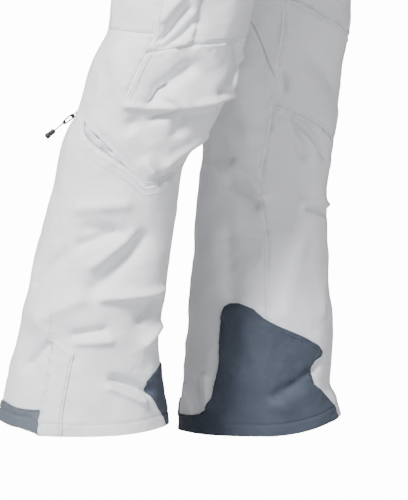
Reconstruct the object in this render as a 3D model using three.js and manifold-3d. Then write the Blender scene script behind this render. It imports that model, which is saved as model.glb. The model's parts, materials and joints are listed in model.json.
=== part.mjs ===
// Ski pants as a walking pair of legs: waist, seat, thighs, shins and all the hardware.
// Millimetres, +Z up, front of the pants -Y, wearer's left +X.
// The origin is the centre of the waist opening, on the plane of the waistband's top edge.
import * as THREE from 'three';
import Module from 'manifold-3d';

const wasm = await Module();
wasm.setup();
const { Manifold, Mesh } = wasm;

// ---- driving sizes --------------------------------------------------------
const CLEARANCE = 0.4;            // air between fitted pieces
const PATCH_CLEARANCE = 1;        // air under pieces laid on a curved shell
const FABRIC = 3;                 // shell fabric with its lining
const TRIM = 1.8;                 // patches, tapes and tabs laid on the shell
const WAIST_HALF_WIDTH = 140;
const WAIST_HALF_DEPTH_FRONT = 106;
const WAIST_HALF_DEPTH_BACK = 112;
const BAND_HEIGHT = 42;
const HIP_HALF_WIDTH = 181;
const HIP_HALF_DEPTH_FRONT = 138;
const HIP_HALF_DEPTH_BACK = 152;
const HIP_LINE = -200;            // height of the hip hinges and the widest hip line
const SEAT_HEM = -222;            // lower edge of the hip panels
const FRONT_HEM_RISE = 20;        // how much higher that edge is at the centre front
const THIGH_TOP = -176;
const KNEE_SEAM_ABOVE = 46;       // knee panel's upper seam above the knee hinge
const KNEE_BACK_CUT = 50;         // thigh hem above the knee hinge at the back
const KNEE_FRONT_DROP = 20;       // thigh hem below the knee hinge at the front
const KNEE_DEPTH = 80;            // shin's rounded top, front to back
const KNEE_WIDTH = 61;            // shin's rounded top, side to side
const SIDE_SEAM = 15;             // degrees behind the outermost line of the leg
const BELT_SLOT = 7.5;
const LOOP_WIDTH = 10;
const LOOP_STRAP = 2;
const FLY_TAPE = 6;
const FLY_LENGTH = 118;
const POCKET_ZIP_LENGTH = 105;
const POCKET_ZIP_ANGLE = 48;      // degrees from the front centre round to the side
const CARGO_HEIGHT = 150;
const CARGO_BULGE = 9;
const CARGO_FRONT = -20;          // degrees, front edge of the cargo pocket
const FLAP_HEIGHT = 34;
const VENT_DROP = 93;
const VENT_HALF_WIDTH = 8;
const GAITER_HEIGHT = 85;
const HEEL_BAND_HEIGHT = 33;
const PLACKET_HEIGHT = 112;
const VENT_SLIDER_LIFT = 5.6;      // slider's middle above the shin's shell
const PULLER_LENGTH = 18;
const CORD_LENGTH = 12;
const GRIP_LENGTH = 14;

// ---- finishes -------------------------------------------------------------
const FINISH = {
  shell: [0xe4e4e6, 0.85],
  charcoal: [0x454c58, 0.85],
  grey: [0x8b8e96, 0.85],
  lining: [0xf0f0f2, 0.9],
  tape: [0x1c1d20, 0.8],
  metal: [0x55575c, 0.35],
  rubber: [0x3a3b3f, 0.7],
};
const group = new THREE.Group();
group.name = 'ski_pants';

// Adds one named piece; turns it the right way out if its volume is negative.
function add(name, geometry, finish) {
  const flat = geometry.index ? geometry.toNonIndexed() : geometry;
  if (signedVolume(flat) < 0) {
    flip(flat);
  }
  flat.computeVertexNormals();
  const [color, roughness] = FINISH[finish];
  const material = new THREE.MeshStandardMaterial({ color, roughness });
  const mesh = new THREE.Mesh(flat, material);
  mesh.name = name;
  group.add(mesh);
}

function signedVolume(geometry) {
  const p = geometry.attributes.position;
  const [a, b, c] = [new THREE.Vector3(), new THREE.Vector3(), new THREE.Vector3()];
  let total = 0;
  for (let i = 0; i < p.count; i += 3) {
    a.fromBufferAttribute(p, i);
    b.fromBufferAttribute(p, i + 1);
    c.fromBufferAttribute(p, i + 2);
    total += a.dot(b.cross(c)) / 6;
  }
  return total;
}

function flip(geometry) {
  const p = geometry.attributes.position;
  const [b, c] = [new THREE.Vector3(), new THREE.Vector3()];
  for (let i = 0; i < p.count; i += 3) {
    b.fromBufferAttribute(p, i + 1);
    c.fromBufferAttribute(p, i + 2);
    p.setXYZ(i + 1, c.x, c.y, c.z);
    p.setXYZ(i + 2, b.x, b.y, b.z);
  }
}

function rad(degrees) {
  return (degrees * Math.PI) / 180;
}

// Reads a value from a table of [key, value] rows in rising key order, straight between rows.
function lookup(rows, key) {
  if (key <= rows[0][0]) {
    return rows[0][1];
  }
  for (let i = 1; i < rows.length; i += 1) {
    if (key <= rows[i][0]) {
      const t = (key - rows[i - 1][0]) / (rows[i][0] - rows[i - 1][0]);
      return rows[i - 1][1] + t * (rows[i][1] - rows[i - 1][1]);
    }
  }
  return rows[rows.length - 1][1];
}

// ---- body surfaces --------------------------------------------------------
// A surface gives the point at (turn in degrees, height z, offset outwards).

// Hip shell: turn 0 is +X, 90 the back, 270 the front.
function hipSurface(turn, z, offset) {
  const t = Math.min(1, Math.max(0, (-z - BAND_HEIGHT) / (-HIP_LINE - BAND_HEIGHT)));
  const back = Math.sin(rad(turn)) > 0;
  const waistDepth = back ? WAIST_HALF_DEPTH_BACK : WAIST_HALF_DEPTH_FRONT;
  const hipDepth = back ? HIP_HALF_DEPTH_BACK : HIP_HALF_DEPTH_FRONT;
  const a = WAIST_HALF_WIDTH + t * (HIP_HALF_WIDTH - WAIST_HALF_WIDTH);
  const b = waistDepth + t * (hipDepth - waistDepth);
  const power = 2 / (2.1 + 0.5 * t);
  const c = Math.cos(rad(turn));
  const s = Math.sin(rad(turn));
  const x = a * Math.sign(c) * Math.abs(c) ** power;
  const y = b * Math.sign(s) * Math.abs(s) ** power;
  const n = new THREE.Vector2(
    Math.sign(x) * Math.abs(x / a) ** (2 / power - 1) / a,
    Math.sign(y) * Math.abs(y / b) ** (2 / power - 1) / b,
  ).normalize();
  return new THREE.Vector3(x + offset * n.x, y + offset * n.y, z);
}

// One leg's measurements. side is +1 for the wearer's left and -1 for the right.
class Leg {
  constructor(side, word, kneeY, kneeZ, hemZ, thigh, shin) {
    this.side = side;
    this.word = word;
    this.kneeY = kneeY;
    this.kneeZ = kneeZ;
    this.hemZ = hemZ;
    this.thigh = thigh;
    this.shin = shin;
  }

  // Point on an oval section: turn 0 outer side, 90 back, 180 inner side, 270 front.
  oval(section, turn, z, offset) {
    const [x, y, a, b] = section;
    const c = Math.cos(rad(turn));
    const s = Math.sin(rad(turn));
    const n = new THREE.Vector2(c / a, s / b).normalize();
    return new THREE.Vector3(
      this.side * (x + a * c + offset * n.x),
      y + b * s + offset * n.y,
      z,
    );
  }

  section(rows, z) {
    return [1, 2, 3, 4].map((column) => lookup(rows.map((row) => [row[0], row[column]]), z));
  }

  // Thigh tube, from inside the hip shell down past the knee hinge.
  thighAt(turn, z, offset) {
    return this.oval(this.section(this.thigh, z), turn, z, offset);
  }

  // Shin tube; above the knee hinge it is part of a ball that turns about the hinge.
  shinAt(turn, z, offset) {
    const rise = z - this.kneeZ;
    if (rise > 0) {
      const shrink = Math.sqrt(1 - (rise / KNEE_DEPTH) ** 2);
      const x = this.shin[this.shin.length - 1][1];
      return this.oval([x, this.kneeY, KNEE_WIDTH * shrink, KNEE_DEPTH * shrink], turn, z, offset);
    }
    return this.oval(this.section(this.shin, z), turn, z, offset);
  }

  thighHem(turn) {
    const s = Math.sin(rad(turn));
    return this.kneeZ + s * (s > 0 ? KNEE_BACK_CUT : KNEE_FRONT_DROP);
  }

  shinTop(turn) {
    return this.kneeZ + 34 + 26 * Math.max(0, Math.sin(rad(turn)));
  }
}

// Sections, lowest first: height, distance out to the side, y, half width, half depth.
const right = new Leg(-1, 'right', 143, -600, -1018, [
  [-640, 104, 155, 69, 91],
  [-600, 104, 143, 69, 90],
  [-559, 104, 132, 71, 88],
  [-493, 103, 115, 75, 90],
  [-410, 100, 82, 80, 97],
  [-330, 97, 48, 83, 106],
  [-250, 91, 17, 83, 115],
  [-200, 88, 0, 81, 118],
  [-160, 88, 0, 76, 111],
], [
  [-1018, 104, 235, 72, 102],
  [-969, 104, 234, 69, 96],
  [-914, 104, 231, 65, 88],
  [-859, 104, 221, 63, 86],
  [-804, 104, 210, 61, 82],
  [-749, 104, 198, 60, 80],
  [-713, 104, 190, 59, 77],
  [-663, 104, 168, 60, 81],
  [-620, 104, 150, 61, 80],
  [-600, 104, 143, KNEE_WIDTH, KNEE_DEPTH],
]);
const left = new Leg(1, 'left', 2, -612, -1049, [
  [-650, 104, 6, 69, 88],
  [-612, 104, 2, 69, 88],
  [-563, 104, -4, 71, 88],
  [-502, 103, -10, 75, 90],
  [-410, 100, -9, 80, 97],
  [-330, 97, -6, 83, 106],
  [-250, 91, -2, 83, 115],
  [-200, 88, 0, 81, 118],
  [-160, 88, 0, 76, 111],
], [
  [-1049, 104, 18, 72, 103],
  [-1016, 104, 18, 70, 101],
  [-959, 104, 20, 66, 95],
  [-883, 104, 20, 63, 88],
  [-787, 104, 18, 60, 84],
  [-692, 104, 11, 60, 79],
  [-635, 104, 5, 61, 80],
  [-612, 104, 2, KNEE_WIDTH, KNEE_DEPTH],
]);

// ---- sheets on a surface --------------------------------------------------
// place(p, q, layer) gives a point for p and q from 0 to 1; layer 0 is the inside face
// and 1 the outside face. The result is one closed slab, or a closed ring.
function slab(place, across, up, ring = false) {
  const positions = [];
  const columns = ring ? across : across + 1;
  const at = (i, j, layer) => place(i / across, j / up, layer);
  const quad = (a, b, c, d) => {
    for (const v of [a, b, c, a, c, d]) {
      positions.push(v.x, v.y, v.z);
    }
  };
  for (let i = 0; i < across; i += 1) {
    const next = ring ? (i + 1) % columns : i + 1;
    for (let j = 0; j < up; j += 1) {
      quad(at(i, j, 1), at(next, j, 1), at(next, j + 1, 1), at(i, j + 1, 1));
      quad(at(i, j, 0), at(i, j + 1, 0), at(next, j + 1, 0), at(next, j, 0));
    }
    quad(at(i, 0, 0), at(next, 0, 0), at(next, 0, 1), at(i, 0, 1));
    quad(at(i, up, 1), at(next, up, 1), at(next, up, 0), at(i, up, 0));
  }
  for (let j = 0; j < up && !ring; j += 1) {
    quad(at(0, j, 0), at(0, j, 1), at(0, j + 1, 1), at(0, j + 1, 0));
    quad(at(across, j, 1), at(across, j, 0), at(across, j + 1, 0), at(across, j + 1, 1));
  }
  const geometry = new THREE.BufferGeometry();
  geometry.setAttribute('position', new THREE.Float32BufferAttribute(positions, 3));
  return geometry;
}

// A panel between two turns and two heights; a height is a number or a function of the turn.
function panel(surface, turns, low, high, offsets, across, up) {
  const value = (height, turn) => (typeof height === 'function' ? height(turn) : height);
  return slab((p, q, layer) => {
    const turn = turns[0] + p * (turns[1] - turns[0]);
    const z = value(low, turn) + q * (value(high, turn) - value(low, turn));
    return surface(turn, z, offsets[layer]);
  }, across, up);
}

function toManifold(geometry) {
  const positions = geometry.attributes.position.array;
  const seen = new Map();
  const points = [];
  const triangles = [];
  for (let i = 0; i < positions.length; i += 3) {
    const key = [0, 1, 2].map((k) => Math.round(positions[i + k] * 1e4)).join();
    if (!seen.has(key)) {
      seen.set(key, points.length / 3);
      points.push(positions[i], positions[i + 1], positions[i + 2]);
    }
    triangles.push(seen.get(key));
  }
  return new Manifold(new Mesh({
    numProp: 3,
    vertProperties: new Float32Array(points),
    triVerts: new Uint32Array(triangles),
  }));
}

function fromManifold(solid) {
  const mesh = solid.getMesh();
  const geometry = new THREE.BufferGeometry();
  geometry.setAttribute('position', new THREE.BufferAttribute(mesh.vertProperties, 3));
  geometry.setIndex(new THREE.BufferAttribute(mesh.triVerts, 1));
  return geometry.toNonIndexed();
}

function outward(geometry) {
  if (signedVolume(geometry) < 0) {
    flip(geometry);
  }
  return geometry;
}

function cut(base, ...tools) {
  let solid = toManifold(outward(base));
  for (const tool of tools) {
    solid = solid.subtract(toManifold(outward(tool)));
  }
  return fromManifold(solid);
}

// A box with its own axes: along, across and out are unit vectors.
function orientedBox(centre, along, out, size) {
  const across = new THREE.Vector3().crossVectors(out, along).normalize();
  const geometry = new THREE.BoxGeometry(...size);
  const turned = new THREE.Matrix4().makeBasis(across, along, out);
  geometry.applyMatrix4(turned);
  geometry.translate(centre.x, centre.y, centre.z);
  return geometry.toNonIndexed();
}

// ---- waist and seat -------------------------------------------------------
function waistband() {
  const offsets = [0, FABRIC];
  const low = -BAND_HEIGHT;
  add('waistband_front_right', panel(hipSurface, [180.3, 269.8], low, 0, offsets, 12, 1), 'shell');
  add('waistband_front_left', panel(hipSurface, [270.2, 359.7], low, 0, offsets, 12, 1), 'shell');
  add('waistband_back', panel(hipSurface, [0.3, 179.7], low, 0, offsets, 24, 1), 'shell');
}

function hipPanels() {
  const high = -BAND_HEIGHT - CLEARANCE;
  const offsets = [-FABRIC, 0];
  const rows = [
    ['front_panel_right', 180.2, 269.8],
    ['front_panel_left', 270.2, 359.8],
    ['seat_panel_right', 90.2, 179.8],
    ['seat_panel_left', 0.2, 89.8],
  ];
  for (const [name, from, to] of rows) {
    const sheet = panel(hipSurface, [from, to], hipHem, high, offsets, 12, 4);
    const notched = name.startsWith('front') ? cut(sheet, flyNotch()) : sheet;
    add(name, notched, 'shell');
  }
}

function hipHem(turn) {
  return SEAT_HEM + FRONT_HEM_RISE * Math.max(0, -Math.sin(rad(turn)));
}

// The opening between the front panels that the fly zip fills.
function flyNotch() {
  const bottom = -BAND_HEIGHT - FLY_LENGTH - 1;
  const notch = new THREE.BoxGeometry(2 * (FLY_TAPE + 1), 80, FLY_LENGTH + 20);
  notch.translate(0, -HIP_HALF_DEPTH_FRONT, bottom + FLY_LENGTH / 2 + 10);
  return notch.toNonIndexed();
}

function crotchGusset() {
  const shape = new THREE.Shape();
  const top = SEAT_HEM - 2;
  shape.absellipse(0, top, 140, 52, Math.PI, 2 * Math.PI, false);
  shape.lineTo(128, top);
  shape.absellipse(0, top, 128, 40, 2 * Math.PI, Math.PI, true);
  const geometry = new THREE.ExtrudeGeometry(shape, {
    depth: 6, bevelEnabled: false, curveSegments: 16,
  });
  geometry.translate(0, 0, -3);
  const upright = new THREE.Matrix4().makeBasis(
    new THREE.Vector3(0, 1, 0),
    new THREE.Vector3(0, 0, 1),
    new THREE.Vector3(1, 0, 0),
  );
  add('crotch_gusset', geometry.applyMatrix4(upright), 'shell');
}

function beltLoops() {
  const rows = [
    ['belt_loop_back', 90],
    ['belt_loop_side_right', 180],
    ['belt_loop_side_left', 0],
    ['belt_loop_front_right', 250],
    ['belt_loop_front_left', 290],
  ];
  for (const [name, turn] of rows) {
    add(name, beltLoop(turn), 'shell');
  }
}

// A strap standing off the waistband with a foot above and below the belt's slot.
function beltLoop(turn) {
  const near = CLEARANCE;
  const far = near + BELT_SLOT + LOOP_STRAP;
  const low = -BAND_HEIGHT;
  const shape = new THREE.Shape();
  const corners = [
    [near, 0], [near, -2.5], [far - LOOP_STRAP, -2.5], [far - LOOP_STRAP, low + 2.5],
    [near, low + 2.5], [near, low], [far, low], [far, 0],
  ];
  shape.setFromPoints(corners.map(([x, y]) => new THREE.Vector2(x, y)));
  const geometry = new THREE.ExtrudeGeometry(shape, { depth: LOOP_WIDTH, bevelEnabled: false });
  geometry.translate(0, 0, -LOOP_WIDTH / 2);
  const foot = hipSurface(turn, 0, FABRIC);
  const out = hipSurface(turn, 0, FABRIC + 1).sub(foot);
  const up = new THREE.Vector3(0, 0, 1);
  geometry.applyMatrix4(new THREE.Matrix4().makeBasis(out, up, out.clone().cross(up)));
  geometry.translate(foot.x, foot.y, 0);
  return geometry;
}

// A slider body and its hanging puller plate on the hip shell, at one turn and height.
function hipSlider(name, turn, z) {
  const seat = hipSurface(turn, z, 0);
  const along = hipSurface(turn, z + 10, 0).sub(seat).normalize();
  const side = hipSurface(turn + 1, z, 0).sub(hipSurface(turn - 1, z, 0)).normalize();
  const out = side.clone().cross(along).normalize();
  if (out.dot(new THREE.Vector3(seat.x, seat.y, 0)) < 0) {
    out.negate();
  }
  const body = seat.clone().addScaledVector(out, 3.1);
  add(`${name}_slider`, orientedBox(body, along, out, [8, 11, 3.6]), 'metal');
  const plate = seat.clone().addScaledVector(out, 6.3).addScaledVector(along, -PULLER_LENGTH / 2);
  add(`${name}_puller`, orientedBox(plate, along, out, [5, PULLER_LENGTH + 6, 1.6]), 'metal');
}

function fly() {
  const high = -BAND_HEIGHT - CLEARANCE;
  const low = high - FLY_LENGTH;
  for (const [word, side] of [['right', -1], ['left', 1]]) {
    const tape = slab((p, q, layer) => {
      const z = low + q * (high - low);
      const depth = hipSurface(270, z, -FABRIC + TRIM * layer).y;
      return new THREE.Vector3(side * (0.2 + FLY_TAPE * p), depth, z);
    }, 2, 2);
    add(`fly_zip_tape_${word}`, tape, 'tape');
  }
  hipSlider('fly_zip', 270, high - 9);
}

function waistClosure() {
  const offsets = [FABRIC + 2.4, FABRIC + 2.4 + TRIM];
  const low = -BAND_HEIGHT + 6;
  add('waist_tab', panel(hipSurface, [262, 278], low, -6, offsets, 4, 1), 'shell');
  const front = hipSurface(265, 0, FABRIC).y;
  add('waist_snap_stud', snapDisc(5, 1.2, front - 1.3), 'metal');
  add('waist_snap_cap', snapDisc(6.5, 1.8, front - 2.4 - TRIM - 1.9), 'metal');
}

// A round press stud on the waistband, facing forwards.
function snapDisc(radius, height, y) {
  const geometry = new THREE.CylinderGeometry(radius, radius, height, 20);
  geometry.translate(hipSurface(265, 0, 0).x, y, -BAND_HEIGHT / 2);
  return geometry;
}

function waistAdjusters() {
  const offsets = [FABRIC + 0.6, FABRIC + 0.6 + TRIM];
  const low = -BAND_HEIGHT + 9;
  const rows = [['waist_adjuster_right', 186, 216], ['waist_adjuster_left', 324, 354]];
  for (const [name, from, to] of rows) {
    add(name, panel(hipSurface, [from, to], low, -9, offsets, 5, 1), 'charcoal');
  }
}

function handPockets() {
  const high = -BAND_HEIGHT - 22;
  const low = high - POCKET_ZIP_LENGTH;
  const offsets = [CLEARANCE, CLEARANCE + 0.8];
  for (const [word, sign] of [['right', -1], ['left', 1]]) {
    const turn = 270 + sign * POCKET_ZIP_ANGLE;
    const strip = panel(hipSurface, [turn - 2.4, turn + 2.4], low, high, offsets, 3, 4);
    add(`hand_pocket_zip_${word}`, strip, 'tape');
    hipSlider(`hand_pocket_${word}`, turn, high - 9);
  }
}

// ---- thighs ---------------------------------------------------------------
function thigh(leg) {
  const surface = (turn, z, offset) => leg.thighAt(turn, z, offset);
  const hem = (turn) => leg.thighHem(turn);
  const seam = leg.kneeZ + KNEE_SEAM_ABOVE;
  const offsets = [-FABRIC, 0];
  const frontTurns = [-179.7, SIDE_SEAM - 0.3];
  const backTurns = [SIDE_SEAM + 0.3, 179.7];
  const front = panel(surface, frontTurns, seam + CLEARANCE, THIGH_TOP, offsets, 16, 9);
  add(`thigh_front_${leg.word}`, front, 'shell');
  const back = panel(surface, backTurns, hem, THIGH_TOP, offsets, 14, 10);
  add(`thigh_back_${leg.word}`, back, 'shell');
  add(`knee_panel_${leg.word}`, panel(surface, frontTurns, hem, seam, offsets, 16, 3), 'shell');
}

// A patch pocket on the outer thigh: its mouth is at the top, under the flap.
function cargoPocket(leg) {
  const low = leg.kneeZ + KNEE_SEAM_ABOVE + 4;
  const high = low + CARGO_HEIGHT;
  const turns = [CARGO_FRONT, SIDE_SEAM - 2];
  const pocket = slab((p, q, layer) => {
    const turn = turns[0] + p * (turns[1] - turns[0]);
    const rise = Math.min(1, 5 * p, 5 * (1 - p)) * Math.min(1, 5 * q);
    const offset = CLEARANCE + CARGO_BULGE * rise + TRIM * layer;
    return leg.thighAt(turn, low + q * (high - low), offset);
  }, 10, 8);
  add(`cargo_pocket_${leg.word}`, pocket, 'shell');
  const offset = CLEARANCE * 2 + CARGO_BULGE + TRIM;
  const flap = slab((p, q, layer) => {
    const turn = turns[0] - 1.5 + p * (turns[1] - turns[0] + 3);
    const out = q > 0.99 ? 1.5 : offset;
    const z = high + 12 - FLAP_HEIGHT * (1 - q);
    return leg.thighAt(turn, z, out + TRIM * layer);
  }, 6, 4);
  add(`cargo_flap_${leg.word}`, flap, 'shell');
}

// ---- shins ----------------------------------------------------------------
// The vent runs from the back of the calf down and forward across the outer side.
function ventPoint(leg, along, across, offset) {
  const turn = 86 - 110 * along;
  const z = leg.kneeZ - 32 - VENT_DROP * along;
  return leg.shinAt(turn + 0.48 * across, z + 0.82 * across, offset);
}

// A leaf-shaped slab along the vent, widened by extra on both sides.
function ventLeaf(leg, extra, from, to, offsets, steps = 12) {
  return slab((p, q, layer) => {
    const along = from + p * (to - from);
    const width = VENT_HALF_WIDTH * Math.sin(Math.PI * along) ** 0.6 + extra;
    const half = Math.max(0.3, width);
    return ventPoint(leg, along, half * (2 * q - 1), offsets[layer]);
  }, steps, 1);
}

function shin(leg) {
  const surface = (turn, z, offset) => leg.shinAt(turn, z, offset);
  const top = (turn) => leg.shinTop(turn);
  const offsets = [-FABRIC, 0];
  const outer = panel(surface, [-79.7, 99.7], leg.hemZ, top, offsets, 14, 14);
  const hole = ventLeaf(leg, 0, 0.03, 0.97, [-FABRIC - 3, 3]);
  add(`shin_outer_${leg.word}`, cut(outer, hole), 'shell');
  const inner = panel(surface, [100.3, 279.7], leg.hemZ, top, offsets, 14, 14);
  add(`shin_inner_${leg.word}`, inner, 'shell');
}

function vent(leg) {
  const under = -FABRIC - PATCH_CLEARANCE;
  const tape = ventLeaf(leg, 5, 0, 1, [under - 1.4, under]);
  const gap = ventLeaf(leg, -2, 0.06, 0.94, [under - 4, under + 3]);
  add(`vent_zip_${leg.word}`, cut(tape, gap), 'tape');
  const lining = ventLeaf(leg, 6, 0, 1, [under - 5.4, under - 2.4]);
  add(`vent_lining_${leg.word}`, lining, 'lining');
}

function ventPull(leg) {
  const seat = ventPoint(leg, 0, 0, 0);
  const out = ventPoint(leg, 0, 0, 1).sub(seat).normalize();
  const along = ventPoint(leg, 0.06, 0, 0).sub(seat);
  along.addScaledVector(out, -along.dot(out)).normalize();
  const body = seat.clone().addScaledVector(out, VENT_SLIDER_LIFT);
  add(`vent_slider_${leg.word}`, orientedBox(body, along, out, [8, 10, 3.6]), 'metal');
  const hang = new THREE.Vector3(0, 0.78, -0.62).normalize();
  const flat = new THREE.Vector3(leg.side, 0, 0);
  const start = body.clone().addScaledVector(out, 3.6);
  const plate = start.clone().addScaledVector(hang, PULLER_LENGTH / 2);
  const plateSize = [1.8, PULLER_LENGTH, 6];
  add(`vent_puller_${leg.word}`, orientedBox(plate, hang, flat, plateSize), 'metal');
  const cordStart = start.clone().addScaledVector(hang, PULLER_LENGTH + CLEARANCE);
  add(`vent_grip_${leg.word}`, grip(cordStart, hang), 'rubber');
}

// A short cord with a moulded rubber end, turned about its own length.
function grip(start, direction) {
  const cordEnd = CORD_LENGTH;
  const end = CORD_LENGTH + GRIP_LENGTH;
  const profile = [
    [0, 0], [1.1, 0], [1.1, cordEnd], [2.4, cordEnd], [2.9, cordEnd + 3],
    [2.9, end - 2], [2, end], [0, end],
  ];
  const geometry = new THREE.LatheGeometry(profile.map(([x, y]) => new THREE.Vector2(x, y)), 12);
  const turn = new THREE.Quaternion().setFromUnitVectors(new THREE.Vector3(0, 1, 0), direction);
  geometry.applyQuaternion(turn);
  geometry.translate(start.x, start.y, start.z);
  return geometry;
}

// Upper edge of the kick patch above the hem, by turn round the leg.
const KICK_TOP = [
  [92, 22], [130, 24], [140, 38], [147, 78], [152, 144], [157, 161],
  [175, 153], [194, 132], [216, 116], [235, 96], [241, 47], [268, 25],
];

function cuff(leg) {
  const surface = (turn, z, offset) => leg.shinAt(turn, z, offset);
  const offsets = [PATCH_CLEARANCE, PATCH_CLEARANCE + TRIM];
  const kickTop = (turn) => leg.hemZ + lookup(KICK_TOP, turn);
  const kick = panel(surface, [92, 268], leg.hemZ, kickTop, offsets, 28, 4);
  add(`kick_patch_${leg.word}`, kick, 'charcoal');
  const heelTop = leg.hemZ + HEEL_BAND_HEIGHT;
  add(`heel_band_${leg.word}`, panel(surface, [35, 90], leg.hemZ, heelTop, offsets, 6, 1), 'grey');
  const placketTop = leg.hemZ + PLACKET_HEIGHT;
  const placket = panel(surface, [11, 33], leg.hemZ, placketTop, offsets, 4, 3);
  add(`ankle_placket_${leg.word}`, placket, 'shell');
  const gaiter = slab((p, q, layer) => {
    const narrowing = 9 * (1 - q);
    const offset = -FABRIC - 1.2 - narrowing - TRIM * (1 - layer);
    return leg.shinAt(360 * p, leg.hemZ + 8 + GAITER_HEIGHT * q, offset);
  }, 24, 3, true);
  add(`snow_gaiter_${leg.word}`, gaiter, 'lining');
}

waistband();
hipPanels();
crotchGusset();
beltLoops();
fly();
waistClosure();
waistAdjusters();
handPockets();
for (const leg of [right, left]) {
  thigh(leg);
  cargoPocket(leg);
  shin(leg);
  vent(leg);
  ventPull(leg);
  cuff(leg);
}

export default group;
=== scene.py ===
"""Ski pants: a walking pair of padded legs with seams, zips, kick patches and snow gaiters.

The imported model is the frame. Every fabric solid in it is replaced here by sewn cloth
that follows the same measurements, and the metal pieces keep their place.
"""

import json
import logging
import math
from dataclasses import dataclass, field
from enum import Enum
from typing import Callable, Iterable, Sequence

import bpy
import numpy as np
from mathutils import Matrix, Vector, noise

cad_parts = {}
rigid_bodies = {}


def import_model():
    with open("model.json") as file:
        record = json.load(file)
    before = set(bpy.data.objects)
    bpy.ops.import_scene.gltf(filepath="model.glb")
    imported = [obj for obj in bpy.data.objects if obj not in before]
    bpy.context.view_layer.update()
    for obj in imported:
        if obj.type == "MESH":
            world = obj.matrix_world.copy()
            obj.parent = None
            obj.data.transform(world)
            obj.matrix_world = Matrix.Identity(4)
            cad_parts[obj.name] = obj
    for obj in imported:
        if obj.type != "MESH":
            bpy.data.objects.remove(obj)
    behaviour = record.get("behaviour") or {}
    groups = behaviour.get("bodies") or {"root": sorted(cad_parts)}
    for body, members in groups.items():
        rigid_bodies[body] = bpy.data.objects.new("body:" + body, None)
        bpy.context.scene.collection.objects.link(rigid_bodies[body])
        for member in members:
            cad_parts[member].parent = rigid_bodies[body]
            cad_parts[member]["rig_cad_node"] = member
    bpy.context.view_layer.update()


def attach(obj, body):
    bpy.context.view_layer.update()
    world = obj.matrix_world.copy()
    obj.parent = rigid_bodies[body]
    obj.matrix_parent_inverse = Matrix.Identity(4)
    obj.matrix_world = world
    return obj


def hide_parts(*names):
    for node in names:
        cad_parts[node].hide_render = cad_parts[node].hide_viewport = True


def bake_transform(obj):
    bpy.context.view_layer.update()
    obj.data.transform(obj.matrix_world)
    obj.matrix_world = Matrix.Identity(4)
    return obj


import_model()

LOG = logging.getLogger("ski_pants")
MM = 0.001
Array = np.ndarray


class Side(Enum):
    """Which leg of the wearer a piece belongs to."""

    RIGHT = -1
    LEFT = 1

    @property
    def word(self) -> str:
        """The side's word in piece and body names."""
        return self.name.lower()


class Hold(Enum):
    """How a cut of cloth is held on the garment."""

    STRETCHED = "stretched"
    GATHERED = "gathered"


# ---------------------------------------------------------------------------
# Colours and shader nodes
# ---------------------------------------------------------------------------


def linear(colour: str) -> tuple[float, float, float, float]:
    """Turn an sRGB hex colour into linear light.

    Args:
        colour: six hex digits, with or without a leading hash.

    Returns:
        Linear red, green, blue and an alpha of 1.
    """
    digits = colour.lstrip("#")
    parts = [int(digits[i : i + 2], 16) / 255 for i in (0, 2, 4)]
    lit = [p / 12.92 if p <= 0.04045 else ((p + 0.055) / 1.055) ** 2.4 for p in parts]
    return (lit[0], lit[1], lit[2], 1.0)


def add_node(
    tree: bpy.types.NodeTree,
    kind: str,
    settings: dict[str, object] | None = None,
    links: dict[str, bpy.types.NodeSocket] | None = None,
) -> bpy.types.Node:
    """Add one shader node with its settings and incoming links.

    Args:
        tree: the material's node tree.
        kind: the node's type name.
        settings: socket or property names with their values.
        links: input socket names with the output socket that feeds each.

    Returns:
        The new node.
    """
    made = tree.nodes.new(kind)
    for name, value in (settings or {}).items():
        if name in made.inputs:
            made.inputs[name].default_value = value
        else:
            setattr(made, name, value)
    for name, source in (links or {}).items():
        socket = made.inputs[int(name)] if name.isdigit() else made.inputs[name]
        tree.links.new(source, socket)
    return made


def start_material(name: str) -> tuple[bpy.types.Material, bpy.types.NodeTree]:
    """Make a material whose tree holds nothing yet."""
    material = bpy.data.materials.new(name)
    material.use_nodes = True
    material.node_tree.nodes.clear()
    return material, material.node_tree


def finish_material(
    tree: bpy.types.NodeTree,
    settings: dict[str, object],
    links: dict[str, bpy.types.NodeSocket],
) -> None:
    """End a tree with a principled shader and its output.

    Args:
        tree: the material's node tree.
        settings: plain values for the shader's sockets.
        links: sockets that other nodes feed.
    """
    shader = add_node(tree, "ShaderNodeBsdfPrincipled", settings, links)
    add_node(
        tree, "ShaderNodeOutputMaterial", {}, {"Surface": shader.outputs["BSDF"]}
    )


def blend_colours(
    tree: bpy.types.NodeTree,
    share: bpy.types.NodeSocket,
    first: str,
    second: str,
) -> bpy.types.NodeSocket:
    """Mix two hex colours by a share and return the colour socket.

    Args:
        tree: the material's node tree.
        share: 0 gives the first colour and 1 the second.
        first: sRGB hex colour.
        second: sRGB hex colour.

    Returns:
        The mixed colour's socket.
    """
    ramp = add_node(tree, "ShaderNodeValToRGB", {}, {"Fac": share})
    ramp.color_ramp.elements[0].color = linear(first)
    ramp.color_ramp.elements[1].color = linear(second)
    return ramp.outputs["Color"]


def scaled_noise(
    tree: bpy.types.NodeTree,
    place: bpy.types.NodeSocket,
    size_mm: float,
    detail: float = 2.0,
) -> bpy.types.NodeSocket:
    """Noise whose blotches are about size_mm across, in a coordinate of metres.

    Args:
        tree: the material's node tree.
        place: coordinate socket in metres.
        size_mm: rough width of one blotch.
        detail: number of finer octaves.

    Returns:
        The noise value's socket.
    """
    made = add_node(
        tree,
        "ShaderNodeTexNoise",
        {"Scale": 1000 / size_mm, "Detail": detail, "Roughness": 0.55},
        {"Vector": place},
    )
    return made.outputs["Fac"]


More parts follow.
